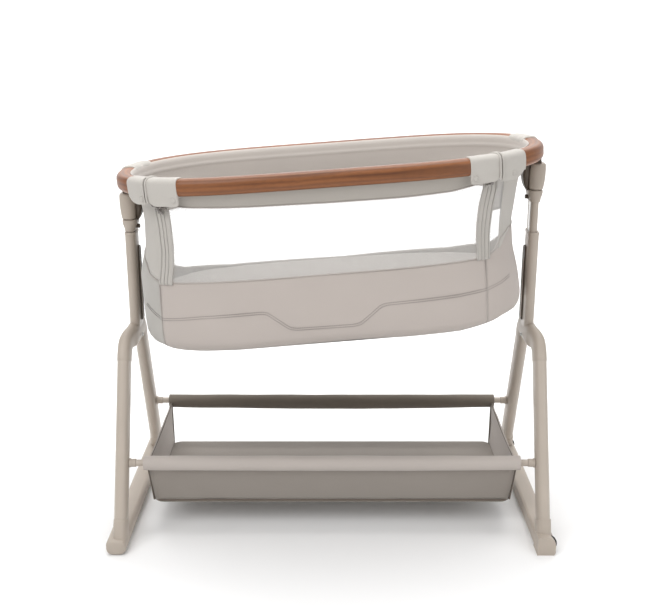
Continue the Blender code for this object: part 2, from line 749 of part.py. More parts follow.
def base_board(parent):
    low, high = BOARD_W
    column("base_board", [inset_outline(0.006, 0.016)], high - low, "dark_plastic", (0, 0, low), parent)


def mattress(parent):
    low, high = MATTRESS_W
    outline = inset_outline(low + 0.004, 0.012)
    made = as_mesh(column("mattress", [outline], high - low, "mattress_cover", (0, 0, low), parent))
    rounded(made, 0.008, 1)


def rim_bracket(side, parent):
    """The tongue under the rim that hangs on the pivot pin."""
    name = f"rim_bracket_{'left' if side < 0 else 'right'}"
    top = RIM_W - TRIM_HEIGHT / 2 - GAP - PIVOT_W
    half, turn = BRACKET_HALF_WIDTH, 8
    outline = [(half, top), (-half, top)]
    for step in range(turn + 1):
        angle = pi + pi * step / turn
        outline.append((half * cos(angle), half * sin(angle)))
    at = (side * PIVOT_SPAN / 2, 0, PIVOT_W)
    made = as_mesh(prism(name, [outline], BRACKET_DEPTH, "dark_plastic", at, (pi / 2, 0, 0), parent))
    cut(made, rod(f"{name}_hole", PIN_RADIUS + GAP, 0.06, "dark_plastic", at, (pi / 2, 0, 0), parent))


# ---------------------------------------------------------------- basket


def basket_bar(end):
    word = "front" if end < 0 else "rear"
    at = (0, end * BAR_Y, BAR_Z)
    rod(f"basket_bar_{word}", BAR_RADIUS, 2 * BAR_HALF, "beige_paint", at, (0, pi / 2, 0), bore=0.0058)
    inner_face = LEG_X - LEG_WIDTH / 2 - GAP
    for side in (-1, 1):
        place = (side * (BAR_HALF + GAP + inner_face) / 2, end * BAR_Y, BAR_Z)
        rod(f"bar_connector_{word}_{'left' if side < 0 else 'right'}", CONNECTOR_RADIUS,
            inner_face - BAR_HALF - GAP, "beige_plastic", place, (0, pi / 2, 0))


def basket_board():
    at = (0, 0, BASKET_Z + FABRIC + GAP)
    outline = rounded_rectangle(2 * BASKET_HALF_X - 0.016, 2 * BASKET_HALF_Y - 0.010, 0.02)
    column("basket_board", [outline], 0.003, "dark_plastic", at)


def basket_sleeve(end):
    """The hem that a basket bar runs through, as a thick-walled tube."""
    return rod(f"hem_{end}", SLEEVE_RADIUS, 2 * BASKET_HALF_X + 0.020, "basket_fabric",
               (0, end * BAR_Y, BAR_Z), (0, pi / 2, 0), sides=14)


def basket():
    """Floor, front wall, two end panels and the hems on both bars, sewn into one piece. The back
    is open between the rear hem and the floor."""
    floor = block("basket_fabric", (2 * BASKET_HALF_X, 2 * BASKET_HALF_Y, FABRIC), "basket_fabric",
                  (0, 0, BASKET_Z + FABRIC / 2))
    for end in (-1, 1):
        join(floor, basket_sleeve(end))
    rise = Vector((BAR_Y - BASKET_HALF_Y, BAR_Z - BASKET_Z))
    lean = atan2(rise.x, rise.y)
    wall = block("basket_front_wall", (2 * BASKET_HALF_X, FABRIC, rise.length), "basket_fabric",
                 (0, -(BAR_Y + BASKET_HALF_Y) / 2 + FABRIC / 2, (BAR_Z + BASKET_Z) / 2))
    wall.rotation_euler.x = lean
    join(floor, wall)
    side_outline = [
        (-BASKET_HALF_Y + 0.0006, BASKET_Z + 0.0004), (BASKET_HALF_Y - 0.0006, BASKET_Z + 0.0004),
        (BAR_Y, BAR_Z), (-BAR_Y, BAR_Z),
    ]
    for side in (-1, 1):
        at = (side * (BASKET_HALF_X - FABRIC / 2 - 0.0005), 0, 0)
        turn = (pi / 2, 0, pi / 2)
        join(floor, prism(f"basket_end_{side}", [side_outline], FABRIC, "basket_fabric", at, turn))
    for end in (-1, 1):
        cut(floor, rod(f"hem_bore_{end}", BAR_RADIUS + GAP, 1.0, "basket_fabric",
                       (0, end * BAR_Y, BAR_Z), (0, pi / 2, 0)))


def build():
    for side in (-1, 1):
        foot_rail(side)
        crown(side)
        post_sleeve(side)
        guide_cap(side)
        backing_plate(side)
        for end in (-1, 1):
            leg(side, end)
    for end in (-1, 1):
        wheel(end)
        foot_pad(end)
        basket_bar(end)
    basket_board()
    basket()

    left_pivot = empty("left_post_pivot", (-POST_X, 0, PIVOT_Z))
    post(-1, left_pivot)
    cradle_pivot = empty("cradle_pivot", (-POST_X, 0, PIVOT_Z), (0, -TILT, 0))
    cradle = empty("cradle_frame", (PIVOT_SPAN / 2, 0, -PIVOT_W), parent=cradle_pivot)
    right_x = -POST_X + PIVOT_SPAN * cos(TILT)
    right_z = PIVOT_Z + PIVOT_SPAN * sin(TILT)
    right_pivot = empty("right_post_pivot", (right_x, 0, right_z))
    post(1, right_pivot)

    fixed_rim(cradle)
    for side in (-1, 1):
        rim_bracket(side, cradle)
    tub_base(cradle)
    tub_walls(cradle)
    base_board(cradle)
    mattress(cradle)

    hinge = empty("gate_hinge", (0, GATE_HINGE_V, GATE_HINGE_W), parent=cradle)
    back = (0, -GATE_HINGE_V, -GATE_HINGE_W)
    gate_rim(hinge, back)
    gate_panel(hinge, back)


clear_scene()
PARTS = collection("bassinet_on_stand")
CUTTERS = collection("cutters", helper=True)
build()
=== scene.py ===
"""The looks of a bedside bassinet on its stand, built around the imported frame.

Cradle pieces are made in the cradle's own frame: u along it, v across it and w up from the middle
of its underside. Everything else is made in the row frame."""

import json
from math import acos, asin, atan2, copysign, cos, pi, radians, sin

import bpy
import numpy as np
from mathutils import Matrix, Vector, noise


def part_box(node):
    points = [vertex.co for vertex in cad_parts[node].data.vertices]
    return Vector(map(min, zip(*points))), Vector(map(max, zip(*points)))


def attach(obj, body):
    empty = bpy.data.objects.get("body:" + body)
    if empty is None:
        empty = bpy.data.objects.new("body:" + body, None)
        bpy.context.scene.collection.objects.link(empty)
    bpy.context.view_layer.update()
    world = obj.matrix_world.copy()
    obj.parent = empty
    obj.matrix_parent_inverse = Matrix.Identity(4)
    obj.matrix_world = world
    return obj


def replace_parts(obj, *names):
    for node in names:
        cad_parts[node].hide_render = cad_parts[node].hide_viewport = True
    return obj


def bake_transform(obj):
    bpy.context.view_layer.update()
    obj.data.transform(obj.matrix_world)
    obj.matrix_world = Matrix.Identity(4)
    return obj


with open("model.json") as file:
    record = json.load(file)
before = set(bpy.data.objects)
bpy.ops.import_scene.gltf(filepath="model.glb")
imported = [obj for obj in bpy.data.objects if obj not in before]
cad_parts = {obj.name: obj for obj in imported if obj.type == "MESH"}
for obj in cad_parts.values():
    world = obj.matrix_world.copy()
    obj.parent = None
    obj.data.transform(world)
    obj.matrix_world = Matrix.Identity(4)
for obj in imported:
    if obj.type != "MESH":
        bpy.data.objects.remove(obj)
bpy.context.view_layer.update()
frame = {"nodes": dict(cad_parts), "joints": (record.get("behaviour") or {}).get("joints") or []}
JOINTS = {joint["name"]: joint for joint in frame["joints"]}

# Cradle
PIVOT_W = 0.2945
# An oval is its middle, half length, half width and the powers of its curve along and across
RIM_OVAL = (-0.002, 0.434, 0.216, 4.0, 2.1)
RIM_W = 0.339
TRIM_WIDTH = 0.032
TRIM_HEIGHT = 0.034
# Where the rim's pieces meet: u on the front, and v at the back of the left and right ends
SPLIT_U = (-0.3565, 0.3251)
GATE_TRIM_U = (-0.2972, 0.2696)
FRONT_WRAP_U = (-0.3923, 0.3722)
REAR_WRAP_V = ((0.0250, 0.1012), (0.0285, 0.0964))
WALL_TOP_W = 0.326
# Heights of the tub, each with its oval there
TUB = np.array((
    (0.000, -0.018, 0.366, 0.181, 3.4, 3.4),
    (0.006, -0.018, 0.389, 0.201, 3.4, 3.4),
    (0.022, -0.018, 0.402, 0.212, 3.4, 3.4),
    (0.050, -0.0168, 0.4045, 0.2165, 3.4, 3.4),
    (0.100, -0.0190, 0.4020, 0.2165, 3.4, 3.4),
    (0.148, -0.0235, 0.3965, 0.2135, 3.4, 3.4),
    (0.200, -0.0155, 0.3890, 0.2100, 3.6, 3.0),
    (0.260, -0.0075, 0.3940, 0.2080, 3.8, 2.6),
    (0.300, -0.0040, 0.4020, 0.2080, 4.0, 2.3),
    (0.330, -0.0030, 0.4200, 0.2095, 4.0, 2.2),
))

LINING_SEAMS_W = (0.328, 0.335)
BRIGHT_STAGE = 0.82
# How far cloth pressure may swell the mattress, and the size of its mesh while it does
SWELL_LIMIT = 0.004
SWELL_VOXEL = 0.006

# Camera and lights: each light's name, place, aim, size and power
CAMERA_PLACE = (-0.0075, -2.1504, 1.0942)
CAMERA_TILT = radians(73.67)
CAMERA_LENS = 55.37
WORLD_STRENGTH = 0.46
LAMPS = (
    ("key", (-1.6, -2.2, 2.6), (0, 0, 0.5), (2.6, 2.0), 52),
    ("fill", (2.2, -2.0, 1.6), (0, 0, 0.5), (2.0, 2.0), 20),
    ("top", (0, 0.3, 3.0), (0, 0, 0.4), (2.6, 1.8), 56),
    ("backdrop", (0, 1.6, 2.6), (0, 3.2, 0.6), (4.0, 1.0), 80),
)

# Stand
LEG_X = 0.446
POST_X = 0.4348
BAR_Y = 0.180
BAR_Z = 0.168


# ---------------------------------------------------------------- places


def cradle_frame():
    """The cradle's frame at rest, from its two pivots."""
    left = Vector(JOINTS["cradle_tilt"]["pos_m"])
    right = Vector(JOINTS["right_swivel"]["pos_m"])
    along = (right - left).normalized()
    across = Vector((0, 1, 0))
    up = along.cross(across)
    made = Matrix((along, across, up)).transposed().to_4x4()
    made.translation = (left + right) / 2 - up * PIVOT_W
    return made


CRADLE = cradle_frame()


def tub_oval(height):
    """The outline of the tub at a height, eased between the measured heights."""
    near = height + np.linspace(-0.010, 0.010, 7)
    return tuple(np.interp(near, TUB[:, 0], TUB[:, k]).mean() for k in range(1, 6))


def oval_angle(oval, where, place):
    """The angle where an oval passes a place: a u on its "front", or a v at the back of its "left"
    or "right" end."""
    middle, half_length, half_width, along, across = oval
    if where == "front":
        share = (place - middle) / half_length
        return -acos(copysign(abs(share) ** (along / 2), share))
    angle = asin((place / half_width) ** (across / 2))
    return angle if where == "right" else pi - angle


def rim_at(where, place):
    return oval_angle(RIM_OVAL, where, place)


def oval_places(oval, angles):
    middle, half_length, half_width, along, across = oval
    c, s = np.cos(angles), np.sin(angles)
    u = middle + half_length * np.sign(c) * np.abs(c) ** (2 / along)
    v = half_width * np.sign(s) * np.abs(s) ** (2 / across)
    return np.stack((u, v), axis=1)


def oval_path(oval, start, end):
    """Close places along an oval, counter-clockwise, and how far along it each one is."""
    if end < start:
        end += 2 * pi
    places = oval_places(oval, np.linspace(start, end, 500))
    return places, lengths(places)


def oval_run(oval, start, end, shares):
    """Places and outward directions at these shares of the way along an oval."""
    places, length = oval_path(oval, start, end)
    at = np.asarray(shares) * length[-1]

    def places_at(shift):
        return np.stack([np.interp(at + shift, length, places[:, k]) for k in (0, 1)], axis=1)

    along = places_at(0.004) - places_at(-0.004)
    along /= np.linalg.norm(along, axis=1)[:, None]
    return places_at(0), np.stack((along[:, 1], -along[:, 0]), axis=1)


def seam(where, *places):
    """A seam up the tub's wall through (height, u or v) places: the angle it is at for a height."""
    heights, along = zip(*places)

    def angle(height):
        return oval_angle(tub_oval(height), where, float(np.interp(height, heights, along)))
    return angle


def wall(start, end, low, high, columns, rows, proud=0.0):
    """Rows of points on the tub's wall between two seams. Low and high are heights, or functions
    of how far round from start to end. Proud is how far off the wall, or a function of height."""
    grid = []
    for i in range(rows + 1):
        row = []
        for j in range(columns + 1):
            share = j / columns
            foot = low(share) if callable(low) else low
            top = high(share) if callable(high) else high
            height = foot + (top - foot) * i / rows
            here, out = oval_run(tub_oval(height), start(height), end(height), [share])
            here = here + out * (proud(height) if callable(proud) else proud)
            row.append((here[0][0], here[0][1], height))
        grid.append(row)
    return grid


def front_place(u, w, proud=0.0):
    """A point on the tub's front wall, stood off by proud."""
    oval = tub_oval(w)
    angle = oval_angle(oval, "front", u)
    out = oval_run(oval, angle - 0.02, angle + 0.02, [0.5])[1]
    place = oval_places(oval, np.array([angle]))[0] + out[0] * proud
    return Vector((place[0], place[1], w))


# ---------------------------------------------------------------- materials


def linear(*srgb):
    """A colour given in sRGB steps of 255, for a shader, allowing for the bright stage."""
    return (*[BRIGHT_STAGE * ((c / 255 + 0.055) / 1.055) ** 2.4 for c in srgb], 1)


def shade(colour, factor):
    return (*[min(1.0, c * factor) for c in colour[:3]], 1)


class Look:
    """A material with its node tree, and short ways to add nodes to it."""

    def __init__(self, name, roughness=0.5, metallic=0.0, **more):
        self.material = bpy.data.materials.new(name)
        self.material.use_nodes = True
        self.tree = self.material.node_tree
        self.shader = self.tree.nodes["Principled BSDF"]
        for key, value in {"Roughness": roughness, "Metallic": metallic, **more}.items():
            self.shader.inputs[key].default_value = value

    def node(self, kind, inputs=(), **settings):
        made = self.tree.nodes.new(kind)
        for key, value in settings.items():
            setattr(made, key, value)
        for key, value in dict(inputs).items():
            if isinstance(value, bpy.types.NodeSocket):
                self.tree.links.new(value, made.inputs[key])
            else:
                made.inputs[key].default_value = value
        return made

    def link(self, output, key):
        self.tree.links.new(output, self.shader.inputs[key])

    def scaled(self, source, scale):
        where = self.node("ShaderNodeTexCoord").outputs[source]
        return self.node("ShaderNodeMapping", {"Vector": where, "Scale": scale}).outputs["Vector"]

    def noise(self, vector, scale, detail=3.0, distortion=0.0, rough=0.5):
        return self.node("ShaderNodeTexNoise", {
            "Vector": vector, "Scale": scale, "Detail": detail, "Distortion": distortion, "Roughness": rough,
        }).outputs["Fac"]

    def ramp(self, fac, *stops):
        made = self.node("ShaderNodeValToRGB", {"Fac": fac})
        ramp = made.color_ramp
        while len(ramp.elements) < len(stops):
            ramp.elements.new(0.5)
        for element, (place, colour) in zip(ramp.elements, stops):
            element.position = place
            element.color = colour
        return made.outputs["Color"]

    def maths(self, operation, *values):
        return self.node("ShaderNodeMath", dict(enumerate(values)), operation=operation).outputs[0]

    def mixed(self, fac, a, b):
        made = self.node("ShaderNodeMix", data_type="RGBA")
        for socket, value in zip((made.inputs[0], made.inputs[6], made.inputs[7]), (fac, a, b)):
            if isinstance(value, bpy.types.NodeSocket):
                self.tree.links.new(value, socket)
            else:
                socket.default_value = value
        return made.outputs[2]

    def bump(self, height, distance, strength=1.0):
        made = self.node("ShaderNodeBump", {"Height": height, "Distance": distance, "Strength": strength})
        self.link(made.outputs["Normal"], "Normal")


def threads(look, vector, pitch):
    """Over-and-under threads at this pitch, as a height from 0 to 1."""
    scale = pi / 10 / pitch
    warp = look.node("ShaderNodeTexWave", {"Vector": vector, "Scale": scale}, bands_direction="X")
    weft = look.node("ShaderNodeTexWave", {"Vector": vector, "Scale": scale}, bands_direction="Y")
    return look.maths("MAXIMUM", warp.outputs["Fac"], weft.outputs["Fac"])


def woven(name, colour, pitch=0.0012, depth=0.00010, melange=0.06, sheen=0.15, source="UV"):
    """Plain woven cloth with thread-to-thread colour variation and soft shading."""
    look = Look(name, roughness=0.88)
    look.shader.inputs["Sheen Weight"].default_value = sheen
    look.shader.inputs["Sheen Roughness"].default_value = 0.5
    place = look.scaled(source, (1, 1, 1))
    fine = look.noise(look.scaled(source, (420, 1100, 420)), 1.0, 2.0)
    broad = look.noise(place, 9.0, 2.0)
    cloth = look.ramp(fine, (0.3, shade(colour, 1 - melange)), (0.7, shade(colour, 1 + melange)))
    tint = look.ramp(broad, (0.35, shade(colour, 0.97)), (0.65, shade(colour, 1.03)))
    look.link(look.mixed(0.35, cloth, tint), "Base Color")
    weave = threads(look, place, pitch)
    look.link(look.node("ShaderNodeMapRange", {"Value": weave, "To Min": 0.80, "To Max": 0.94}).outputs[0],
              "Roughness")
    look.bump(weave, depth)
    return look.material


def net(name, colour, hole, thread, pitch=0.0021):
    """Fine see-through net: the threads let little through and the holes nearly everything."""
    look = Look(name, roughness=0.8)
    place = look.scaled("UV", (1, 1, 1))
    height = threads(look, place, pitch)
    tone = look.ramp(look.noise(place, 60.0), (0.3, shade(colour, 0.97)), (0.7, shade(colour, 1.02)))
    look.link(tone, "Base Color")
    cover = look.node("ShaderNodeMapRange", {"Value": height, "From Min": 0.45, "From Max": 0.95,
                                             "To Min": hole, "To Max": thread})
    look.link(cover.outputs[0], "Alpha")
    return look.material


def timber(name):
    """Wood-look wrap: long grain with flame figure and pores, under a satin coat."""
    dark, middle, light = linear(98, 54, 24), linear(136, 80, 38), linear(160, 100, 54)
    look = Look(name, roughness=0.42)
    look.shader.inputs["Coat Weight"].default_value = 0.10
    look.shader.inputs["Coat Roughness"].default_value = 0.28
    stretched = look.scaled("UV", (38.0, 2.6, 1.0))
    figure = look.noise(stretched, 1.0, 5.0, 0.9, 0.55)
    flame = look.node("ShaderNodeTexWave", {
        "Vector": look.scaled("UV", (26.0, 2.2, 1.0)), "Scale": 1.1, "Distortion": 5.5, "Detail": 3.0,
        "Detail Scale": 1.1,
    }, bands_direction="X").outputs["Fac"]
    pores = look.noise(look.scaled("UV", (1900.0, 60.0, 1.0)), 1.0, 2.0)
    tone = look.ramp(figure, (0.30, dark), (0.50, middle), (0.70, light))
    lines = look.ramp(flame, (0.0, dark), (0.35, middle), (1.0, light))
    both = look.mixed(0.38, tone, lines)
    speck = look.ramp(pores, (0.30, shade(dark, 0.75)), (0.48, (1, 1, 1, 1)))
    shaded = look.node("ShaderNodeMix", data_type="RGBA", blend_type="MULTIPLY")
    look.tree.links.new(both, shaded.inputs[6])
    look.tree.links.new(speck, shaded.inputs[7])
    shaded.inputs[0].default_value = 0.35
    look.link(shaded.outputs[2], "Base Color")
    look.link(look.node("ShaderNodeMapRange", {"Value": figure, "To Min": 0.34, "To Max": 0.52}).outputs[0],
              "Roughness")
    look.bump(look.maths("ADD", flame, pores), 0.00008)
    return look.material


def coated(name, colour, roughness, grain=2600.0, depth=0.00003, coat=0.0):
    """Powder coat or moulded plastic: a fine skin, slightly uneven in tone and gloss."""
    look = Look(name, roughness=roughness)
    look.shader.inputs["Coat Weight"].default_value = coat
    look.shader.inputs["Coat Roughness"].default_value = 0.25
    place = look.scaled("Object", (1, 1, 1))
    broad = look.noise(place, 14.0, 2.0)
    skin = look.noise(place, grain, 2.0)
    look.link(look.ramp(broad, (0.3, shade(colour, 0.965)), (0.7, shade(colour, 1.03))), "Base Color")
    rough = look.node("ShaderNodeMapRange",
                      {"Value": skin, "To Min": roughness - 0.06, "To Max": roughness + 0.06})
    look.link(rough.outputs[0], "Roughness")
    look.bump(skin, depth)
    return look.material


def drawn_metal(name, colour, roughness, stretch):
    """Bare metal with drawing lines along its length."""
    look = Look(name, roughness=roughness, metallic=1.0)
    lines = look.noise(look.scaled("Object", stretch), 1.0, 3.0)
    look.link(look.ramp(lines, (0.3, shade(colour, 0.88)), (0.7, shade(colour, 1.05))), "Base Color")
    rough = look.node("ShaderNodeMapRange",
                      {"Value": lines, "To Min": roughness - 0.08, "To Max": roughness + 0.1})
    look.link(rough.outputs[0], "Roughness")
    look.bump(lines, 0.00002)
    return look.material


LOOKS = {
    "wood": timber("wood_look_wrap"),
    "light": woven("light_cloth", linear(203, 198, 191)),
    # The lining is a lighter copy of the wall cloth: painted light for the light that falls inside the tub.
    "lining": woven("lining_cloth_painted_light", linear(214, 206, 199)),
    "panel": woven("panel_cloth", linear(200, 190, 183), depth=0.00012),
    # The rear panel is a darker copy of the panel cloth: painted shade for its shaded inner face.
    "rear_panel": woven("rear_panel_cloth_painted_shade", linear(186, 177, 169), depth=0.00012),
    "corner": woven("corner_cloth", linear(192, 188, 182), depth=0.00012),
    "under": woven("underside_cloth", linear(120, 112, 105)),
    "valance": woven("valance_cloth", linear(186, 180, 172)),
    # The mattress colour is darkened to the shaded band inside the tub: painted shade.
    "mattress": woven("mattress_knit_painted_shade", linear(158, 150, 143), pitch=0.0016, source="Object"),
    "basket": woven("basket_cloth", linear(158, 150, 142), pitch=0.0014, depth=0.00014),
    "hem": woven("front_hem_cloth", linear(196, 187, 180), pitch=0.0014),
    "rear_hem": woven("rear_hem_cloth", linear(128, 119, 108), pitch=0.0014),
    "binding": woven("binding_tape", linear(116, 106, 96), pitch=0.0009, melange=0.09),
    "thread": woven("stitch_thread", linear(134, 126, 124), pitch=0.0005, depth=0.00002),
    "piping": woven("piping_cloth", linear(186, 178, 172), pitch=0.0008, depth=0.00005),
    "net": net("white_net", linear(246, 246, 244), 0.10, 0.52),
    "paint": coated("beige_powder_coat", linear(196, 184, 171), 0.40, coat=0.12),
    "plastic": coated("beige_moulding", linear(192, 180, 167), 0.46, grain=1500.0, depth=0.00004),
    # The taupe colour was taken from the shaded inner faces of the posts: partly the dark parts' own colour,
    # partly painted shade.
    "dark": coated("taupe_moulding_and_painted_shade", linear(92, 80, 68), 0.48, grain=1500.0, depth=0.00004),
    "black": coated("black_rubber", linear(38, 37, 36), 0.72, grain=1800.0, depth=0.00008),
    "steel": drawn_metal("bright_steel", linear(205, 204, 200), 0.30, (900.0, 900.0, 8.0)),
    "zip": coated("zip_teeth", linear(140, 134, 130), 0.35, grain=3000.0),
}


# ---------------------------------------------------------------- meshes


def add(name, points, faces, uvs, look, body, place=None, slot=None, sharp=42):
    """A piece from points and faces, smooth but for its sharp edges, riding on a body."""
    mesh = bpy.data.meshes.new(name)
    mesh.from_pydata([tuple(map(float, p)) for p in points], [], faces)
    layer = mesh.uv_layers.new(name="UVMap")
    layer.data.foreach_set("uv", np.array(uvs, np.float32).ravel())
    mesh.materials.append(LOOKS[look])
    mesh.shade_smooth()
    mesh.set_sharp_from_angle(angle=radians(sharp))
    mesh.validate()
    made = bpy.data.objects.new(name, mesh)
    bpy.context.scene.collection.objects.link(made)
    made.matrix_world = place or Matrix.Identity(4)
    if body:
        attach(made, body)
    return made


def lengths(points):
    steps = np.linalg.norm(np.diff(np.asarray(points, float), axis=0), axis=1)
    return np.concatenate(([0], np.cumsum(steps)))


def skin(rows, closed=False, capped=False):
    """Points, faces and UVs in metres for a grid of rows, each joined to the next."""
    wide = len(rows[0])
    points = [p for row in rows for p in row]
    along = lengths([row[wide // 2] for row in rows])
    middle_row = list(rows[len(rows) // 2])
    across = lengths(middle_row + middle_row[:1]) if closed else lengths(middle_row)
    faces, uvs = [], []
    for i in range(len(rows) - 1):
        for j in range(wide if closed else wide - 1):
            k = (j + 1) % wide
            faces.append((i * wide + j, i * wide + k, (i + 1) * wide + k, (i + 1) * wide + j))
            uvs += [(across[j], along[i]), (across[j + 1], along[i]),
                    (across[j + 1], along[i + 1]), (across[j], along[i + 1])]
    if capped:
        first = list(range(wide))[::-1]
        last = [(len(rows) - 1) * wide + j for j in range(wide)]
        for loop in (first, last):
            faces.append(tuple(loop))
            centre = np.mean([points[k] for k in loop], axis=0)
            uvs += [tuple(np.asarray(points[k])[[0, 1]] - centre[[0, 1]]) for k in loop]
    return points, faces, uvs


def solid(name, rows, look, body, place, slot, sharp, *stands_for):
    """A closed piece from rows of loops, in place of these CAD nodes."""
    made = add(name, *skin(rows, True, True), look, body, place, slot, sharp)
    if stands_for:
        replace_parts(made, *stands_for)
    return made


def cloth(name, rows, look, body, slot="light_fabric"):
    """An open cloth piece of the cradle."""
    return add(name, *skin(rows), look, body, CRADLE, slot, 80)


def thick(obj, thickness, offset=-1.0):
    solid = obj.modifiers.new("thickness", "SOLIDIFY")
    solid.thickness = thickness
    solid.offset = offset
    return obj


def finer(obj, levels=1):
    subdivision = obj.modifiers.new("finer", "SUBSURF")
    subdivision.levels = levels
    subdivision.render_levels = levels
    return obj


def rumple(obj, amount, size, seed=0.0):
    """Gentle unevenness, pushed along the normals."""
    mesh = obj.data
    normals = [v.normal.copy() for v in mesh.vertices]
    for vertex, normal in zip(mesh.vertices, normals):
        vertex.co += normal * amount * noise.noise(vertex.co / size + Vector((seed, seed, seed)))
    mesh.update()
    return obj


def rounded_box(width, height, radius, steps=5):
    """A rounded rectangle as (across, up) points, counter-clockwise from the lower right."""
    radius = min(radius, width / 2 - 1e-5, height / 2 - 1e-5)
    points = []
    for side_x, side_y, start in ((1, -1, -0.5), (1, 1, 0), (-1, 1, 0.5), (-1, -1, 1)):
        for step in range(steps + 1):
            angle = pi * (start + 0.5 * step / steps)
            points.append((side_x * (width / 2 - radius) + radius * cos(angle),
                           side_y * (height / 2 - radius) + radius * sin(angle)))
    return points


def along_rim(start, end, profile, step=0.008, ease=0.0):
    """Rows of a profile, (outward, up) points, carried along the rim between two angles. With
    ease, the first and last rows are drawn in so that the ends look rounded."""
    total = oval_path(RIM_OVAL, start, end)[1][-1]
    count = max(3, round(total / step))
    shares = list(np.linspace(0, 1, count + 1))
    scales = [1.0] * len(shares)
    if ease:
        lip = ease / total
        shares = [0.0, lip * 0.35, lip] + shares[1:-1] + [1 - lip, 1 - lip * 0.35, 1.0]
        scales = [0.90, 0.97, 1.0] + [1.0] * (count - 1) + [1.0, 0.97, 0.90]
    here, out = oval_run(RIM_OVAL, start, end, shares)
    rows = []
    for share, place, away, scale in zip(shares, here, out, scales):
        points = profile(share * total, total) if callable(profile) else profile
        rows.append([(*(place + away * across * scale), RIM_W + up * scale) for across, up in points[::-1]])
    return rows


def tube(path, radius, sides=8):
    """Rows of a round tube along a path of points."""
    path = [Vector(p) for p in path]
    rows = []
    side = None
    for i, place in enumerate(path):
        ahead = (path[min(i + 1, len(path) - 1)] - path[max(i - 1, 0)]).normalized()
        if side is None:
            side = ahead.orthogonal().normalized()
        side = (side - ahead * side.dot(ahead)).normalized()
        other = ahead.cross(side)
        size = radius(i / (len(path) - 1)) if callable(radius) else radius
        rows.append([place + (side * cos(2 * pi * k / sides) + other * sin(2 * pi * k / sides)) * size
                     for k in range(sides)])
    return rows


def piped(name, path, radius, look, body, place=None, slot=None, sides=8):
    return add(name, *skin(tube(path, radius, sides), True, True), look, body, place, slot)


def together(parts):
    """Several skins as one."""
    points, faces, uvs = [], [], []
    for some_points, some_faces, some_uvs in parts:
        start = len(points)
        points += list(some_points)
        faces += [tuple(start + k for k in face) for face in some_faces]
        uvs += list(some_uvs)
    return points, faces, uvs


def dashes(path, out, length=0.0032, gap=0.0014, radius=0.0005, proud=0.0003):
    """Short stitches along a path, each a flattened capsule stood a little off the cloth."""
    path = np.array([tuple(p) for p in path], float)
    out = np.array([tuple(o) for o in out], float)
    total = lengths(path)
    parts = []
    at = gap
    while at + length < total[-1]:
        row = []
        for share, size in ((0, 0.35), (0.2, 1.0), (0.8, 1.0), (1, 0.35)):
            here = np.array([np.interp(at + length * share, total, path[:, k]) for k in range(3)])
            away = np.array([np.interp(at + length * share, total, out[:, k]) for k in range(3)])
            ahead = np.array([np.interp(at + length * share + 1e-4, total,
                                        path[:, k]) for k in range(3)]) - here
            ahead /= max(np.linalg.norm(ahead), 1e-9)
            away /= max(np.linalg.norm(away), 1e-9)
            side = np.cross(ahead, away)
            rise = proud * (1.0 if size == 1.0 else -0.5)
            row.append([here + away * rise + (side * cos(t) + away * sin(t)) * radius * size
                        for t in np.linspace(0, 2 * pi, 6, endpoint=False)])
        parts.append(skin(row, True, True))
        at += length + gap
    return together(parts)


def upright(sections, side_count=6):
    """Rows of rounded rectangles up Z. Each section is (z, width, depth, radius, x, y)."""
    rows = []
    for z, width, depth, radius, x, y in sections:
        rows.append([(x + a, y + b, z) for a, b in rounded_box(width, depth, radius, side_count)])
    return rows


# ---------------------------------------------------------------- rim and gate


def trim_profile():
    """The wood-look section: upright, crowned outside, with round upper edges."""
    points = []
    for across, up in rounded_box(TRIM_WIDTH, TRIM_HEIGHT, 0.0105, 6):
        points.append((across + 0.0006 * cos(pi * up / TRIM_HEIGHT) * (1 if across > 0 else 0), up))
    return points


def rim_trims():
    pieces = (
        ("front", "front", GATE_TRIM_U[0], "front", GATE_TRIM_U[1], "side_gate", ["gate_trim", "gate_tube"]),
        ("right", "front", FRONT_WRAP_U[1], "right", REAR_WRAP_V[1][0], "cradle", ["rim_trim_right"]),
        ("rear", "right", REAR_WRAP_V[1][1], "left", REAR_WRAP_V[0][1], "cradle",
         ["rim_trim_rear", "rim_tube"]),
        ("left", "left", REAR_WRAP_V[0][0], "front", FRONT_WRAP_U[0], "cradle", ["rim_trim_left"]),
    )
    for word, where_a, start, where_b, end, body, stands_for in pieces:
        rows = along_rim(rim_at(where_a, start), rim_at(where_b, end), trim_profile(), 0.010, 0.002)
        made = solid(f"rim_wood_{word}", rows, "wood", body, CRADLE, "wood_look_leather", 60)
        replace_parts(made, *stands_for)


def wrap_profile(low, corners, seed):
    """The section of a corner wrap: cloth round the rim whose outer side hangs on below it as a
    flap, with its lower corners rounded by these radii at its start and its end."""
    half, tall, cloth = TRIM_WIDTH / 2 + 0.0018, TRIM_HEIGHT / 2 + 0.0024, 0.0020
    box = rounded_box(2 * half, 2 * tall, 0.0115, 6)[7:]

    def section(at, total):
        foot = low - RIM_W
        for radius, edge in zip(corners, (at, total - at)):
            foot += radius - (radius * radius - max(0.0, radius - edge) ** 2) ** 0.5
        foot = min(foot, -tall - 0.0006)
        outer = []
        for up in np.linspace(foot, 0.002, 9):
            fall = max(0.0, -(up + tall * 0.6) / 0.035)
            wave = noise.noise(Vector((at * 45, up * 40, seed)))
            outer.append((half - 0.005 * fall + 0.0014 * wave * min(1.0, fall * 3 + 0.2), up))
        inner = [(across - cloth, up) for across, up in outer[::-1] if up < -tall]
        return outer + box + [(half - cloth, -tall)] + inner[:1] * (6 - len(inner)) + inner
    return section


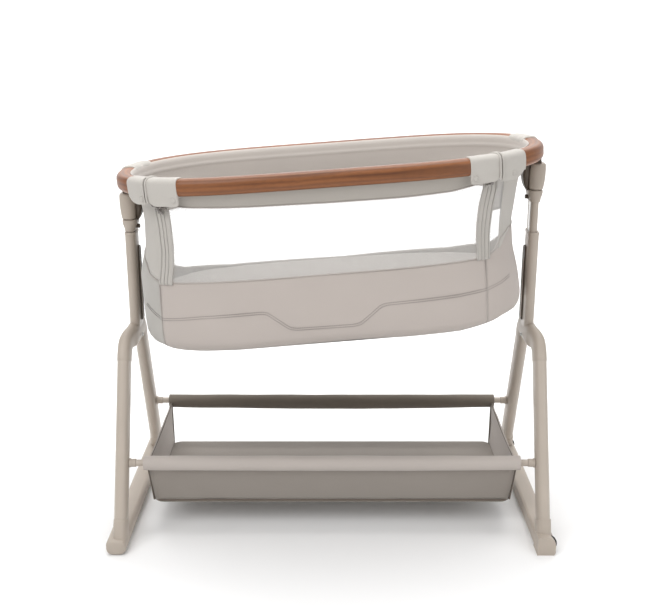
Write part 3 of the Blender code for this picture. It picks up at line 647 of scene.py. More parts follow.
def rim_wraps():
    """The cloth wraps round the rim. Beside the splits their flaps curve up to show the zips."""
    lap, slit = 0.003, 0.0011
    # Name, where it starts and ends, body, CAD node, height of its foot, corner radii
    pieces = (
        ("gate_left", "front", SPLIT_U[0] + slit, "front", GATE_TRIM_U[0] + lap, "side_gate",
         "gate_wrap_left", 0.3035, (0.021, 0.006)),
        ("gate_right", "front", GATE_TRIM_U[1] - lap, "front", SPLIT_U[1] - slit, "side_gate",
         "gate_wrap_right", 0.3055, (0.006, 0.018)),
        ("corner_right", "front", SPLIT_U[1] + slit, "front", FRONT_WRAP_U[1] + lap, "cradle",
         "wrap_front_right", 0.3040, (0.005, 0.034)),
        ("rear_right", "right", REAR_WRAP_V[1][0] - 0.001, "right", REAR_WRAP_V[1][1] + lap, "cradle",
         "wrap_rear_right", 0.3080, (0.014, 0.014)),
        ("rear_left", "left", REAR_WRAP_V[0][1] + lap, "left", REAR_WRAP_V[0][0] - 0.001, "cradle",
         "wrap_rear_left", 0.3080, (0.014, 0.014)),
        ("corner_left", "front", FRONT_WRAP_U[0] - lap, "front", SPLIT_U[0] - slit, "cradle",
         "wrap_front_left", 0.3060, (0.026, 0.012)),
    )
    for seed, (word, where_a, start, where_b, end, body, node, low, corners) in enumerate(pieces):
        profile = wrap_profile(low, corners, seed * 3.7)
        rows = along_rim(rim_at(where_a, start), rim_at(where_b, end), profile, 0.0025, 0.0012)
        made = solid(f"wrap_{word}", rows, "light", body, CRADLE, "light_fabric", 70)
        rumple(made, 0.0009, 0.018, seed * 3.7)
        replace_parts(made, node)


def popper(name, u, w, body):
    """A covered press stud: a shallow dome with a sunk ring."""
    angle = rim_at("front", u)
    place, out = oval_run(RIM_OVAL, angle - 0.01, angle + 0.01, [0.5])
    away, up = Vector((*out[0], 0.0)), Vector((0, 0, 1))
    centre = Vector((*place[0], w)) + away * (TRIM_WIDTH / 2 + 0.0010)
    side = up.cross(away)
    rings = ((0.0062, -0.0020), (0.0060, 0.0008), (0.0053, 0.0015), (0.0047, 0.0009), (0.0030, 0.0018),
             (0.0008, 0.0021))
    rows = []
    for radius, rise in rings:
        rows.append([centre + away * rise + (side * cos(t) + up * sin(t)) * radius
                     for t in np.linspace(0, 2 * pi, 20, endpoint=False)])
    solid(name, rows, "light", body, CRADLE, "light_fabric", 80)


def poppers():
    popper("popper_gate_left", -0.3035, 0.3165, "side_gate")
    popper("popper_gate_right", 0.2750, 0.3170, "side_gate")
    popper("popper_corner_left", -0.3665, 0.3178, "cradle")
    popper("popper_corner_right", 0.3510, 0.3172, "cradle")


def valance():
    """The cloth under the front rim, its lower edge curved up at both ends."""
    def low(share):
        u = GATE_TRIM_U[0] + (GATE_TRIM_U[1] - GATE_TRIM_U[0]) * share
        return float(np.interp(u, (-0.30, -0.258, -0.17, 0.0, 0.12, 0.207, 0.263, 0.30),
                               (0.302, 0.2975, 0.294, 0.291, 0.2905, 0.2935, 0.303, 0.312)))
    rows = wall(seam("front", (0, -0.330)), seam("front", (0, 0.302)), low, 0.328, 60, 8, 0.0035)
    for i, row in enumerate(rows):
        rise = i / 8
        rows[i] = [(u, v - 0.0045 * rise * rise + 0.0015 * sin(pi * rise), w) for u, v, w in row]
    made = cloth("valance", rows, "valance", "side_gate")
    thick(made, 0.0018)
    edge = [(u, v - 0.0002, w) for u, v, w in rows[0]]
    piped("valance_edge", edge, 0.0011, "piping", "side_gate", CRADLE, "light_fabric")


GATE_LEFT = (
    seam("front", (0.147, -0.3600), (0.175, -0.3545), (0.205, -0.3510), (0.258, -0.3520), (0.300, -0.3560)),
    seam("front", (0.147, -0.3330), (0.180, -0.3260), (0.220, -0.3236), (0.260, -0.3240), (0.295, -0.3255)),
)
GATE_RIGHT = (
    seam("front", (0.159, 0.2800), (0.190, 0.2798), (0.221, 0.2815), (0.260, 0.2880), (0.295, 0.2984)),
    seam("front", (0.154, 0.3060), (0.185, 0.3068), (0.210, 0.3091), (0.250, 0.3160), (0.288, 0.3258)),
)
GORE_EDGE = seam("front", (0.148, 0.327), (0.300, 0.345))


def across_gate(piece):
    """Bakes the cradle's frame into the piece's mesh; the piece rides on no body."""
    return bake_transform(piece)


def gate_foot(share):
    """The height of the front panel's upper edge, from the left seam to the right."""
    return float(np.interp(share, (0, 0.5, 1), (0.1445, 0.148, 0.151)))


def gate_cloth():
    rows = wall(GATE_LEFT[1], GATE_RIGHT[0], gate_foot, 0.327, 72, 26)
    mesh = cloth("gate_net", rows, "net", None, "mesh_fabric")
    across_gate(mesh)
    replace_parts(mesh, "gate_panel")
    for word, (start, end) in (("left", GATE_LEFT), ("right", GATE_RIGHT)):
        foot = gate_foot(0 if word == "left" else 1) - 0.004
        rows = wall(start, end, foot, 0.322, 10, 34, 0.0022)
        sleeve = cloth(f"gate_sleeve_{word}", rows, "light", None)
        thick(across_gate(sleeve), 0.0020)
        for number, share in enumerate((0.03, 0.36, 0.62, 0.97)):
            path = []
            for w in np.linspace(foot, 0.318, 30):
                here, out = oval_run(tub_oval(w), start(w), end(w), [share])
                place = here[0] + out[0] * 0.0030
                path.append((place[0], place[1], w))
            radius = 0.0015 if number in (0, 3) else 0.0009
            rib = solid(f"gate_rib_{word}_{number}", tube(path, radius), "corner", None, CRADLE,
                      "light_fabric", 80)
            across_gate(rib)


# ---------------------------------------------------------------- tub


def base_drop(u):
    """How far the cloth under the board hangs below it or is drawn up, along the tub."""
    return float(np.interp(u, (-0.40, -0.30, 0.0, 0.245, 0.30, 0.353),
                           (-0.009, -0.008, 0.0, -0.002, 0.003, 0.008)))


def settle(rows):
    """Lets the lowest rows of a wall follow the slack of the base."""
    made = []
    for row in rows:
        new = []
        for u, v, w in row:
            weight = max(0.0, 1 - w / 0.055)
            new.append((u, v, w + base_drop(u) * weight * weight * (3 - 2 * weight)))
        made.append(new)
    return made


FRONT_SEAMS = (seam("front", (0.03, -0.3685), (0.15, -0.363)), seam("front", (0.03, 0.299), (0.15, 0.2995)))
REAR_SEAMS = (seam("right", (0, 0.060)), seam("left", (0.148, 0.120), (0.316, 0.115)))


def end_top_right(share):
    """The upper edge of the right lower panel climbs quickly round its corner."""
    return float(np.interp(share, (0, 0.10, 0.17, 0.30, 1.0), (0.152, 0.163, 0.182, 0.196, 0.198)))


def end_top_left(share):
    return end_top_right(1 - share) - 0.006


def rear_top(share):
    """The upper edge of the rear panel, from the right seam to the left: higher round the corners."""
    return float(np.interp(share, (0, 0.10, 0.22, 0.5, 0.80, 0.93, 1.0),
                           (0.150, 0.104, 0.087, 0.079, 0.081, 0.092, 0.118)))


def lower_panels():
    pieces = (
        ("lower_panel_front", FRONT_SEAMS[0], FRONT_SEAMS[1], gate_foot, 84, "panel"),
        ("lower_panel_right", FRONT_SEAMS[1], REAR_SEAMS[0], end_top_right, 64, "panel"),
        # The rear panel's look is darker than the front's: painted shade inside the tub.
        ("lower_panel_rear", REAR_SEAMS[0], REAR_SEAMS[1], rear_top, 90, "rear_panel"),
        ("lower_panel_left", REAR_SEAMS[1], FRONT_SEAMS[0], end_top_left, 64, "corner"),
    )
    made = []
    for name, start, end, top, columns, look in pieces:
        rows = settle(wall(start, end, 0.0, top, columns, 26))
        panel = cloth(name, rows, look, "cradle", "panel_fabric")
        rumple(panel, 0.0012, 0.09, 2.0)
        thick(panel, 0.0026)
        made.append(panel)
        edge = [Vector(p) for p in rows[-1]]
        piped(f"{name}_edge", edge, 0.0012, "piping", "cradle", CRADLE, "panel_fabric")
    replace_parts(made[0], "tub_base")


def base_panel():
    """The underside: cloth drawn flat over the base board."""
    outline = wall(lambda w: -pi, lambda w: pi - 1e-6, 0.0, 0.01, 120, 1)[0][:-1]
    middle = TUB[0][1]
    rows = []
    for scale in (1.0, 0.985, 0.94, 0.8, 0.6, 0.4, 0.2, 0.03):
        row = [(middle + (u - middle) * scale, v * scale) for u, v, _ in outline]
        rows.append([(u, v, base_drop(u) - 0.0006 * (scale < 1)) for u, v in row])
    made = solid("base_panel", rows, "under", "cradle", CRADLE, "panel_fabric", 80)


def upper_ends():
    """Solid cloth round both ends, from the lower panels to the rim."""
    left = wall(REAR_SEAMS[1], GATE_LEFT[0], end_top_left, WALL_TOP_W, 60, 18)
    right = wall(GORE_EDGE, REAR_SEAMS[0], lambda s: end_top_right(0.08 + 0.92 * s), WALL_TOP_W, 54, 18)
    for word, rows, node in (("left", left, "end_wall_left"), ("right", right, "end_wall_right")):
        made = cloth(f"end_cloth_{word}", rows, "light", "cradle")
        rumple(made, 0.0014, 0.05, 5.0)
        thick(made, 0.0024)
        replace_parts(made, node)


def nets():
    rear = wall(REAR_SEAMS[0], REAR_SEAMS[1], rear_top, 0.245, 90, 12)
    made = cloth("rear_net", rear, "net", "cradle", "mesh_fabric")
    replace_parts(made, "rear_mesh")
    gore = wall(GATE_RIGHT[1], GORE_EDGE, lambda s: 0.152 + 0.012 * s, 0.322, 8, 20)
    made = cloth("corner_net", gore, "net", "cradle", "mesh_fabric")
    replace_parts(made, "corner_mesh")


def lining_rows(start, end, low, columns):
    """Rows up the inside of the rim, from the foot of the lining to its lip on the wood. It leaves
    the tub's wall below the rim and has one thin roll between its seams."""
    shares = np.linspace(0, 1, columns + 1)
    round_rim, rim_out = oval_run(RIM_OVAL, rim_at("front", start), rim_at("front", end), shares)
    heights = [*np.linspace(low, 0.326, 22), *LINING_SEAMS_W, 0.3315, 0.340, 0.345, 0.349, 0.352, 0.3535]
    rows = []
    for w in sorted(heights):
        oval = tub_oval(w)
        angles = (oval_angle(oval, "front", start), oval_angle(oval, "front", end))
        round_tub, tub_out = oval_run(oval, *angles, shares)
        roll = 0.0024 * max(0.0, 1 - ((w - 0.3315) / 0.0036) ** 2)
        inset = 0.0170 + roll - 0.0036 * max(0.0, (w - 0.345) / 0.0085) ** 2
        blend = min(1.0, max(0.0, (0.324 - w) / 0.050))
        blend = blend * blend * (3 - 2 * blend)
        here = (round_rim - rim_out * inset) * (1 - blend) + (round_tub - tub_out * 0.0042) * blend
        rows.append([(*place, w) for place in here])
    return rows


def linings():
    left, right = SPLIT_U[0] + 0.003, SPLIT_U[1] - 0.003
    pieces = (
        ("lining_fixed", right, left, "cradle", 0.240, 150, 1.72, 0.125),
        ("lining_gate", left, right, "side_gate", 0.300, 80, 0.68, 0.062),
    )
    for name, start, end, body, low, columns, length, height in pieces:
        rows = lining_rows(start, end, low, columns)
        # The lining look is painted light: lighter than the wall cloth for the light falling inside the tub.
        made = cloth(name, rows, "lining", body)
        thick(made, 0.0012)
        for number, seam_w in enumerate((low + 0.003, *LINING_SEAMS_W)):
            path = min(rows, key=lambda row: abs(row[0][2] - seam_w))
            piped(f"{name}_seam_{number}", path, 0.0007, "thread", body, CRADLE, "light_fabric", 6)


STITCH_LINE = (
    (-0.402, 0.091), (-0.385, 0.078), (-0.365, 0.0655), (-0.28, 0.0735), (-0.158, 0.0785), (-0.146, 0.0765),
    (-0.103, 0.0425), (-0.090, 0.0395), (0.026, 0.0395), (0.040, 0.0425), (0.083, 0.0765), (0.095, 0.0792),
    (0.240, 0.0822), (0.300, 0.0862), (0.330, 0.0935), (0.352, 0.1020),
)


def stitching():
    """Twin rows of stitches that frame the front panel and run on round the corners."""
    parts = []
    places = np.array(STITCH_LINE)
    line = lengths(places)
    even = np.linspace(0, line[-1], 240)
    route = np.stack([np.interp(even, line, places[:, k]) for k in (0, 1)], axis=1)
    for shift in (-0.0023, 0.0023):
        path, out = [], []
        for k, (u, w) in enumerate(route):
            ahead = route[min(k + 1, len(route) - 1)] - route[max(k - 1, 0)]
            ahead = ahead / np.linalg.norm(ahead)
            u2, w2 = u - ahead[1] * shift, w + ahead[0] * shift
            here = front_place(u2, w2)
            off = front_place(u2, w2, 0.001)
            path.append(here)
            out.append(off - here)
        parts.append(dashes(path, out, radius=0.00062, proud=0.0006))
    add("panel_stitching", *together(parts), "thread", "cradle", CRADLE, "panel_fabric", 80)


def panel_seams():
    for name, edge in (("left", FRONT_SEAMS[0]), ("right", FRONT_SEAMS[1])):
        path = []
        for w in np.linspace(0.004, 0.150, 30):
            oval = tub_oval(w)
            place = oval_places(oval, np.array([edge(w)]))[0]
            path.append((place[0], place[1] - 0.0004, w))
        path = settle([path])[0]
        piped(f"panel_seam_{name}", path, 0.0009, "piping", "cradle", CRADLE, "panel_fabric", 6)
    for word, edge in (("right", REAR_SEAMS[0]), ("left", REAR_SEAMS[1])):
        path = []
        for w in np.linspace(0.004, 0.320, 50):
            place = oval_places(tub_oval(w), np.array([edge(w)]))[0]
            path.append((place[0], place[1] + 0.0008, w))
        piped(f"rear_seam_{word}", path, 0.0016, "piping", "cradle", CRADLE, "panel_fabric", 8)


def mattress_oval(inset):
    middle, half_length, half_width, along, across = tub_oval(0.045)
    return middle, half_length - inset, half_width - inset, along, across


def mattress():
    """A knitted foam pad: a closed form with a crowned top, swollen by cloth pressure."""
    rings = ((0.0150, 0.016), (0.022, 0.011), (0.048, 0.0095), (0.070, 0.0105), (0.078, 0.014),
             (0.0815, 0.022), (0.0835, 0.045))
    rows = []
    for w, inset in rings:
        here = oval_run(mattress_oval(inset), -pi, pi - 1e-6, np.linspace(0, 1, 97)[:-1])[0]
        rows.append([(u, v, w) for u, v in here])
    # The mattress and its piping carry painted shade in their colour.
    made = solid("mattress_pad", rows, "mattress", None, CRADLE, "mattress_cover", 80)
    swell(made)
    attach(made, "cradle")
    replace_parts(made, "mattress", "base_board")
    for number, w in enumerate((0.024, 0.074)):
        here, out = oval_run(mattress_oval(0.0095), -pi, pi - 1e-6, np.linspace(0, 1, 180))
        path = [(*(p + o * 0.0012), w) for p, o in zip(here, out)]
        piped(f"mattress_piping_{number}", path, 0.0018, "mattress", "cradle", CRADLE, "mattress_cover")


def swell(obj):
    remesh = obj.modifiers.new("even", "REMESH")
    remesh.mode = "VOXEL"
    remesh.voxel_size = SWELL_VOXEL
    bpy.context.view_layer.objects.active = obj
    bpy.ops.object.modifier_apply(modifier="even")
    rest = np.array([v.co for v in obj.data.vertices])
    cloth = obj.modifiers.new("swell", "CLOTH")
    cloth.settings.use_pressure = True
    cloth.settings.uniform_pressure_force = 4.0
    cloth.settings.effector_weights.gravity = 0.0
    cloth.point_cache.frame_end = 20
    for number in range(1, 15):
        bpy.context.scene.frame_set(number)
    bpy.ops.object.modifier_apply(modifier="swell")
    bpy.context.scene.frame_set(1)
    now = np.array([v.co for v in obj.data.vertices])
    moved = now - rest
    size = np.linalg.norm(moved, axis=1)
    moved *= np.minimum(1, SWELL_LIMIT / np.maximum(size, 1e-9))[:, None]
    moved[:, 2] = np.where(rest[:, 2] < 0.02, 0, moved[:, 2])
    obj.data.vertices.foreach_set("co", (rest + moved).astype(np.float32).ravel())
    obj.data.shade_smooth()


# ---------------------------------------------------------------- zips


def zip_row(name, path, out, body):
    """Zip teeth down an edge: small blocks at an even pitch."""
    return add(name, *dashes(path, out, 0.0016, 0.0008, 0.0013, 0.0008), "zip", body, CRADLE, "dark_plastic",
               80)


def puller(name, at, tip, body):
    """A slider with its bent tape pull."""
    at, tip = Vector(at), Vector(tip)
    middle = (at + tip) / 2 + Vector((0.001, -0.004, 0.001))
    path = [at, at.lerp(middle, 0.6), middle, middle.lerp(tip, 0.6), tip]
    parts = [skin(tube(path, lambda s: 0.0016 + 0.0012 * sin(pi * s) ** 2, 8), True, True)]
    parts.append(skin(tube([at + Vector((0, 0, 0.006)), at + Vector((0, -0.001, 0)),
                            at - Vector((0, 0, 0.006))],
                           lambda s: 0.0030 - 0.0008 * abs(2 * s - 1), 10), True, True))
    return add(name, *together(parts), "zip", body, CRADLE, "dark_plastic", 80)


def rim_ridges():
    """The zip ends that cross the rim at both front corners, as twin raised ribs."""
    box = rounded_box(TRIM_WIDTH + 0.0060, TRIM_HEIGHT + 0.0065, 0.013, 6)
    over = [(box[6][0] - 0.002, -0.030), (box[6][0], -0.018)] + box[7:21]
    for word, split in zip(("left", "right"), SPLIT_U):
        for number, shift in enumerate((-0.0026, 0.0026)):
            body = "side_gate" if (shift > 0) == (word == "left") else "cradle"
            angle = rim_at("front", split + shift)
            here, out = oval_run(RIM_OVAL, angle - 0.004, angle + 0.004, [0.5])
            path = [(*(here[0] + out[0] * a), RIM_W + b) for a, b in over]
            piped(f"rim_ridge_{word}_{number}", path, 0.0019, "light", body, CRADLE, "light_fabric")


def crumpled_tape(name, start, end, width, seed, look):
    """A loose end of zip tape between two places on the front wall, gathered in small folds."""
    (u0, w0), (u1, w1) = start, end
    rows = []
    for t in np.linspace(0, 1, 40):
        fold = noise.noise(Vector((t * 7, seed, 0))) * 0.006
        row = []
        for k in range(7):
            side = (k / 6 - 0.5) * width * (1 - 0.5 * t)
            puff = 0.0055 + 0.0045 * noise.noise(Vector((t * 9, k * 0.7, seed))) + 0.003 * sin(pi * t)
            row.append(front_place(u0 + (u1 - u0) * t + fold, w0 + (w1 - w0) * t + side, puff))
        rows.append(row)
    made = cloth(name, rows, look, "cradle")
    thick(made, 0.0012, 0.0)


def zips():
    for word, edge in (("left", GATE_LEFT[0]), ("right", GATE_RIGHT[1])):
        path, out = [], []
        for w in np.linspace(0.158, 0.312, 60):
            here, away = oval_run(tub_oval(w), edge(w) - 0.01, edge(w) + 0.01, [0.5])
            path.append((*here[0], w))
            out.append((*away[0], 0))
        zip_row(f"zip_teeth_{word}", path, out, "cradle")
    crumpled_tape("zip_tape_left_a", (-0.364, 0.3130), (-0.333, 0.2880), 0.016, 1.3, "light")
    crumpled_tape("zip_tape_left_b", (-0.352, 0.3060), (-0.326, 0.2920), 0.012, 4.1, "piping")
    crumpled_tape("zip_tape_right_a", (0.318, 0.3130), (0.303, 0.2960), 0.012, 7.7, "light")
    for name, u, w, du, dw in (
        ("zip_pull_left_a", -0.352, 0.305, 0.010, -0.008), ("zip_pull_left_b", -0.340, 0.292, 0.010, -0.007),
        ("zip_pull_right_a", 0.311, 0.304, -0.007, -0.005),
    ):
        puller(name, front_place(u, w, 0.011), front_place(u + du, w + dw, 0.013), "cradle")


# ---------------------------------------------------------------- stand


def crown_middle_z():
    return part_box("crown_left")[1].z - 0.0215


def leg_line():
    """A front leg's foot, and points from its upper end over the crown to the middle, in Y and Z."""
    crown_z = crown_middle_z()
    flat, radius = 0.047, 0.055
    foot = Vector((0.2345, 0.036))
    lean = radians(68)
    for _ in range(8):
        top = (flat + radius * sin(lean), crown_z - radius * (1 - cos(lean)))
        lean = atan2(top[1] - foot.y, foot.x - top[0])
    arc = [(flat + radius * sin(lean * k / 12),
            crown_z - radius * (1 - cos(lean * k / 12))) for k in range(13)]
    return foot, arc


def leg_place(foot, join, z):
    """Where a leg's centre line is at a height."""
    direction = (join - foot).normalized()
    return foot + direction * (z - foot.y) / direction.y


def oval_section(width, depth, steps=32):
    """A flattened round section, fuller than an ellipse."""
    points = []
    for k in range(steps):
        angle = 2 * pi * k / steps
        c, s = cos(angle), sin(angle)
        points.append((width / 2 * abs(c) ** 0.8 * (1 if c >= 0 else -1),
                       depth / 2 * abs(s) ** 0.8 * (1 if s >= 0 else -1)))
    return points


def bent(path, sections):
    """Rows of sections (X, in-plane) carried along a path of (x, y, z) that lies near a YZ plane."""
    rows = []
    for k, (x, y, z) in enumerate(path):
        before, after = path[max(k - 1, 0)], path[min(k + 1, len(path) - 1)]
        ahead = Vector((0, after[1] - before[1], after[2] - before[2])).normalized()
        over = ahead.cross(Vector((1, 0, 0)))
        section = sections[k] if isinstance(sections, list) else sections
        rows.append([Vector((x + a, y, z)) + over * b for a, b in section])
    return rows


def legs_and_crowns():
    foot, arc = leg_line()
    join = Vector(arc[-1])
    direction = (join - foot).normalized()
    start = leg_place(foot, join, 0.060)
    for side, word in ((-1, "left"), (1, "right")):
        for end, name in ((-1, "front"), (1, "rear")):
            steps = [0.0, 0.002] + list(np.linspace(0.02, 0.98, 10)) + [1.0]
            path, sections = [], []
            for k in steps:
                place = start.lerp(join, k)
                path.append((side * LEG_X, end * place.x, place.y))
                sections.append(oval_section(0.028, 0.045))
            leg = solid(f"leg_tube_{name}_{word}", bent(path, sections), "paint", "stand", None,
                      "beige_paint", 60)
            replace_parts(leg, f"leg_{name}_{word}")
        points = [(-y, z) for y, z in reversed(arc)] + arc
        tail = [(arc[-1][0] - direction.x * d, arc[-1][1] - direction.y * d) for d in (0.004, 0.008)]
        points = [(-y, z) for y, z in reversed(tail)] + points + tail
        path, sections = [], []
        for number, (y, z) in enumerate(points):
            blend = min(max((abs(y) - 0.030) / 0.050, 0), 1)
            outward = (LEG_X - POST_X) * blend * blend * (3 - 2 * blend)
            edge = min(number, len(points) - 1 - number)
            size = 1.035 if edge > 0 else 1.0
            hub = max(0.0, 1 - abs(y) / 0.060)
            path.append((side * (POST_X + outward), y, z - 0.004 * hub))
            sections.append(oval_section(0.0285 * size + 0.004 * hub, 0.0445 * size + 0.010 * hub))
        crown = solid(f"crown_arch_{word}", bent(path, sections), "plastic", "stand", None,
                    "beige_plastic", 60)
        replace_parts(finer(crown), f"crown_{word}")


def screw(name, at, axis, radius, body, look="steel"):
    """A pan-head screw with a round sunk recess, seen from the side it faces."""
    axis = Vector(axis).normalized()
    side = axis.orthogonal().normalized()
    other = axis.cross(side)
    rows = []
    for size, rise in ((1.0, -0.001), (1.0, 0.0006), (0.86, 0.0016), (0.45, 0.0021), (0.30, 0.0021),
                       (0.22, 0.0008)):
        rows.append([Vector(at) + axis * rise + (side * cos(t) + other * sin(t)) * radius * size
                     for t in np.linspace(0, 2 * pi, 18, endpoint=False)])
    return solid(name, rows, look, body, None, "bare_steel", 50)


def feet():
    low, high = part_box("foot_rail_left")
    middle, half, tall = (low.x + high.x) / 2, high.y, 0.0292
    rows = []
    for y, size in ((-1.0, 0.80), (-0.994, 0.93), (-0.98, 1.0), (-0.90, 1.0), (-0.84, 0.995), (0.0, 0.99),
                    (0.84, 0.995), (0.90, 1.0), (0.98, 1.0), (0.994, 0.93), (1.0, 0.80)):
        height = tall * (0.5 + size / 2)
        section = rounded_box((high.x - low.x) * size, height, 0.010, 5)
        rows.append([(middle + a, y * half, low.z + height / 2 + b) for a, b in section])
    rail = solid("foot_bar_left", rows, "plastic", "stand", None, "beige_plastic", 60)
    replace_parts(rail, "foot_rail_left")
    sockets("left", -1)


def sockets(word, side):
    foot, arc = leg_line()
    for end, name in ((-1, "front"), (1, "rear")):
        path, sections = [], []
        for z, size in ((0.022, 1.12), (0.030, 1.11), (0.045, 1.09), (0.056, 1.07), (0.0596, 1.05),
                        (0.0604, 1.0)):
            place = leg_place(foot, Vector(arc[-1]), z)
            path.append((side * LEG_X, end * place.x, z))
            sections.append(oval_section(0.028 * size, 0.045 * size))
        solid(f"foot_socket_{name}_{word}", bent(path, sections), "plastic", "stand", None,
            "beige_plastic", 60)


def posts():
    sleeve_low, sleeve_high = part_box("post_sleeve_left")
    for side, word in ((-1, "left"), (1, "right")):
        body = f"{word}_post"
        x = side * POST_X
        top = sleeve_high.z
        sections = [(sleeve_low.z + 0.02, 0.0215, 0.057, 0.0107, x, 0),
                    (top - 0.003, 0.0222, 0.0585, 0.0110, x, 0),
                    (top - 0.0028, 0.0238, 0.0602, 0.0118, x, 0),
                    (top + 0.0016, 0.0238, 0.0602, 0.0118, x, 0),
                    (top + 0.0024, 0.0226, 0.0590, 0.0112, x, 0),
                    (top + 0.0024, 0.0168, 0.0512, 0.0083, x, 0),
                    (top - 0.010, 0.0166, 0.0510, 0.0082, x, 0)]
        outer = solid(f"post_outer_{word}", upright(sections), "paint", "stand", None,
                    "beige_paint", 50)
        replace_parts(outer, f"post_sleeve_{word}", f"guide_cap_{word}")
        inner_low, inner_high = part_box(f"inner_tube_{word}")
        px = (inner_low.x + inner_high.x) / 2
        sections = [(inner_low.z, 0.016, 0.050, 0.0079, px, 0), (inner_high.z, 0.016, 0.050, 0.0079, px, 0)]
        inner = solid(f"post_inner_{word}", upright(sections), "paint", body, None, "beige_paint", 50)
        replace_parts(inner, f"inner_tube_{word}")
        ladder = [(inner_low.z + 0.02, 0.0008, 0.017, 0.0003, px - side * 0.0081, -0.006),
                  (inner_high.z - 0.03, 0.0008, 0.017, 0.0003, px - side * 0.0081, -0.006)]
        solid(f"post_strip_{word}", upright(ladder, 2), "steel", body, None, "bare_steel", 50)
        collar_and_head(word, side, px, body)
        backing(word, side)


def collar_and_head(word, side, px, body):
    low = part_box(f"collar_{word}")[0].z
    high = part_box(f"head_{word}")[1].z
    x = px
    collar = [(low, 0.0205, 0.0535, 0.0100, x, 0), (low + 0.0015, 0.0222, 0.0550, 0.0108, x, 0),
              (low + 0.0075, 0.0230, 0.0562, 0.0113, x, 0), (low + 0.0105, 0.0250, 0.0580, 0.0122, x, 0),
              (low + 0.0185, 0.0302, 0.0616, 0.0142, x, 0), (low + 0.0235, 0.0312, 0.0624, 0.0146, x, 0),
              (low + 0.0262, 0.0300, 0.0612, 0.0140, x, 0), (low + 0.0268, 0.0270, 0.0590, 0.0132, x, 0)]
    made = solid(f"height_collar_{word}", upright(collar), "plastic", body, None, "beige_plastic", 50)
    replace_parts(finer(made), f"collar_{word}")
    base = low + 0.0272
    tall = high - base
    shift = side * 0.003
    head = []
    for share, wide, deep in ((0, 0.0270, 0.0570), (0.03, 0.0288, 0.0585), (0.15, 0.0312, 0.0606),
                              (0.40, 0.0336, 0.0622),
                              (0.70, 0.0342, 0.0625), (0.92, 0.0330, 0.0615), (0.98, 0.0315, 0.0600),
                              (1.0, 0.0280, 0.056)):
        head.append((base + tall * share, wide, deep, 0.0155, x + shift * (0.4 + 0.6 * share), 0))
    made = solid(f"pivot_shell_{word}", upright(head, 7), "plastic", body, None, "beige_plastic", 50)
    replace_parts(finer(made), f"head_{word}")
    # The tongue stands for the inner half of the head; its dark look is painted shade.
    tongue = []
    for share, wide, deep in ((-0.06, 0.004, 0.018), (0.02, 0.0075, 0.028), (0.20, 0.0120, 0.036),
                              (0.5, 0.0150, 0.040),
                              (0.80, 0.0150, 0.041), (0.95, 0.0130, 0.040), (1.0, 0.0100, 0.036)):
        tongue.append((base + tall * share, wide, deep, 0.006, x - side * (0.0130 + wide / 2), 0.002))
    solid(f"pivot_inner_painted_shade_{word}", upright(tongue), "dark", body, None, "dark_plastic", 50)


def backing(word, side):
    low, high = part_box(f"post_backing_{word}")
    face = low.x if side > 0 else high.x
    path = [(face - side * 0.0004, low.y + 0.003, low.z + 0.004),
            (face - side * 0.0004, low.y + 0.003, high.z - 0.030)]
    piped(f"post_backing_edge_{word}", path, 0.0013, "paint", "stand", None, "beige_paint")


def dress_small_nodes():
    looks = {
        "foot_pad_front": "black", "foot_pad_rear": "black", "wheel_front": "black", "wheel_rear": "black",
        "release_button_left": "dark", "release_button_right": "dark", "rim_bracket_left": "dark",
        "rim_bracket_right": "dark", "pivot_pin_left": "steel", "pivot_pin_right": "steel",
        # The dark look on the post backings is partly painted shade of the posts' inner faces.
        "basket_bar_front": "paint", "basket_bar_rear": "paint", "foot_rail_right": "plastic",
        "post_backing_left": "dark", "post_backing_right": "dark",
    }
    for name, look in looks.items():
        node = frame["nodes"][name]
        node.data.materials.clear()
        node.data.materials.append(LOOKS[look])
        node.data.shade_smooth()
        node.data.set_sharp_from_angle(angle=radians(40))


def small_hardware():
    screw_z = crown_middle_z() - 0.004
    for side, word in ((-1, "left"), (1, "right")):
        screw(f"crown_screw_{word}", (side * (POST_X - 0.0158), -0.020, screw_z), (-side, 0, 0), 0.0042,
              "stand")
        for end, name in ((-1, "front"), (1, "rear")):
            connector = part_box(f"bar_connector_{name}_{word}")
            x0, x1 = connector[0].x, connector[1].x
            near, far = (x1, x0) if side < 0 else (x0, x1)
            rows = []
            for share, size in ((0, 0.0070), (0.02, 0.0086), (0.70, 0.0086), (0.78, 0.0098), (0.96, 0.0102),
                                (1.0, 0.0096)):
                x = near + (far - near) * share
                rows.append([(x, end * BAR_Y + size * cos(t), BAR_Z + size * sin(t))
                             for t in np.linspace(0, 2 * pi, 20, endpoint=False)])
            cup = solid(f"bar_cup_{name}_{word}", rows, "plastic", "stand", None, "beige_plastic", 50)
            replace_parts(cup, f"bar_connector_{name}_{word}")


# ---------------------------------------------------------------- basket


BASKET_X = 0.390
BASKET_Y = 0.152
BASKET_Z = 0.062


def hem_tube(name, end, look, radius, sag, tall):
    """The hem round a basket bar, a cloth tube that hangs a little between its ends."""
    rows = []
    for x in np.linspace(-BASKET_X - 0.010, BASKET_X + 0.010, 60):
        share = 1 - (x / (BASKET_X + 0.010)) ** 2
        drop = sag * share
        row = []
        for t in np.linspace(0, 2 * pi, 20, endpoint=False):
            size = radius * (1 + 0.05 * noise.noise(Vector((x * 14, t, end * 3.0))))
            up = sin(t) * size * (tall if sin(t) < 0 else 1.0)
            row.append((x, end * BAR_Y + cos(t) * size, BAR_Z + up - drop * (0.5 - 0.5 * sin(t))))
        rows.append(row)
    made = solid(name, rows, look, "stand", None, "basket_fabric", 80)
    return made


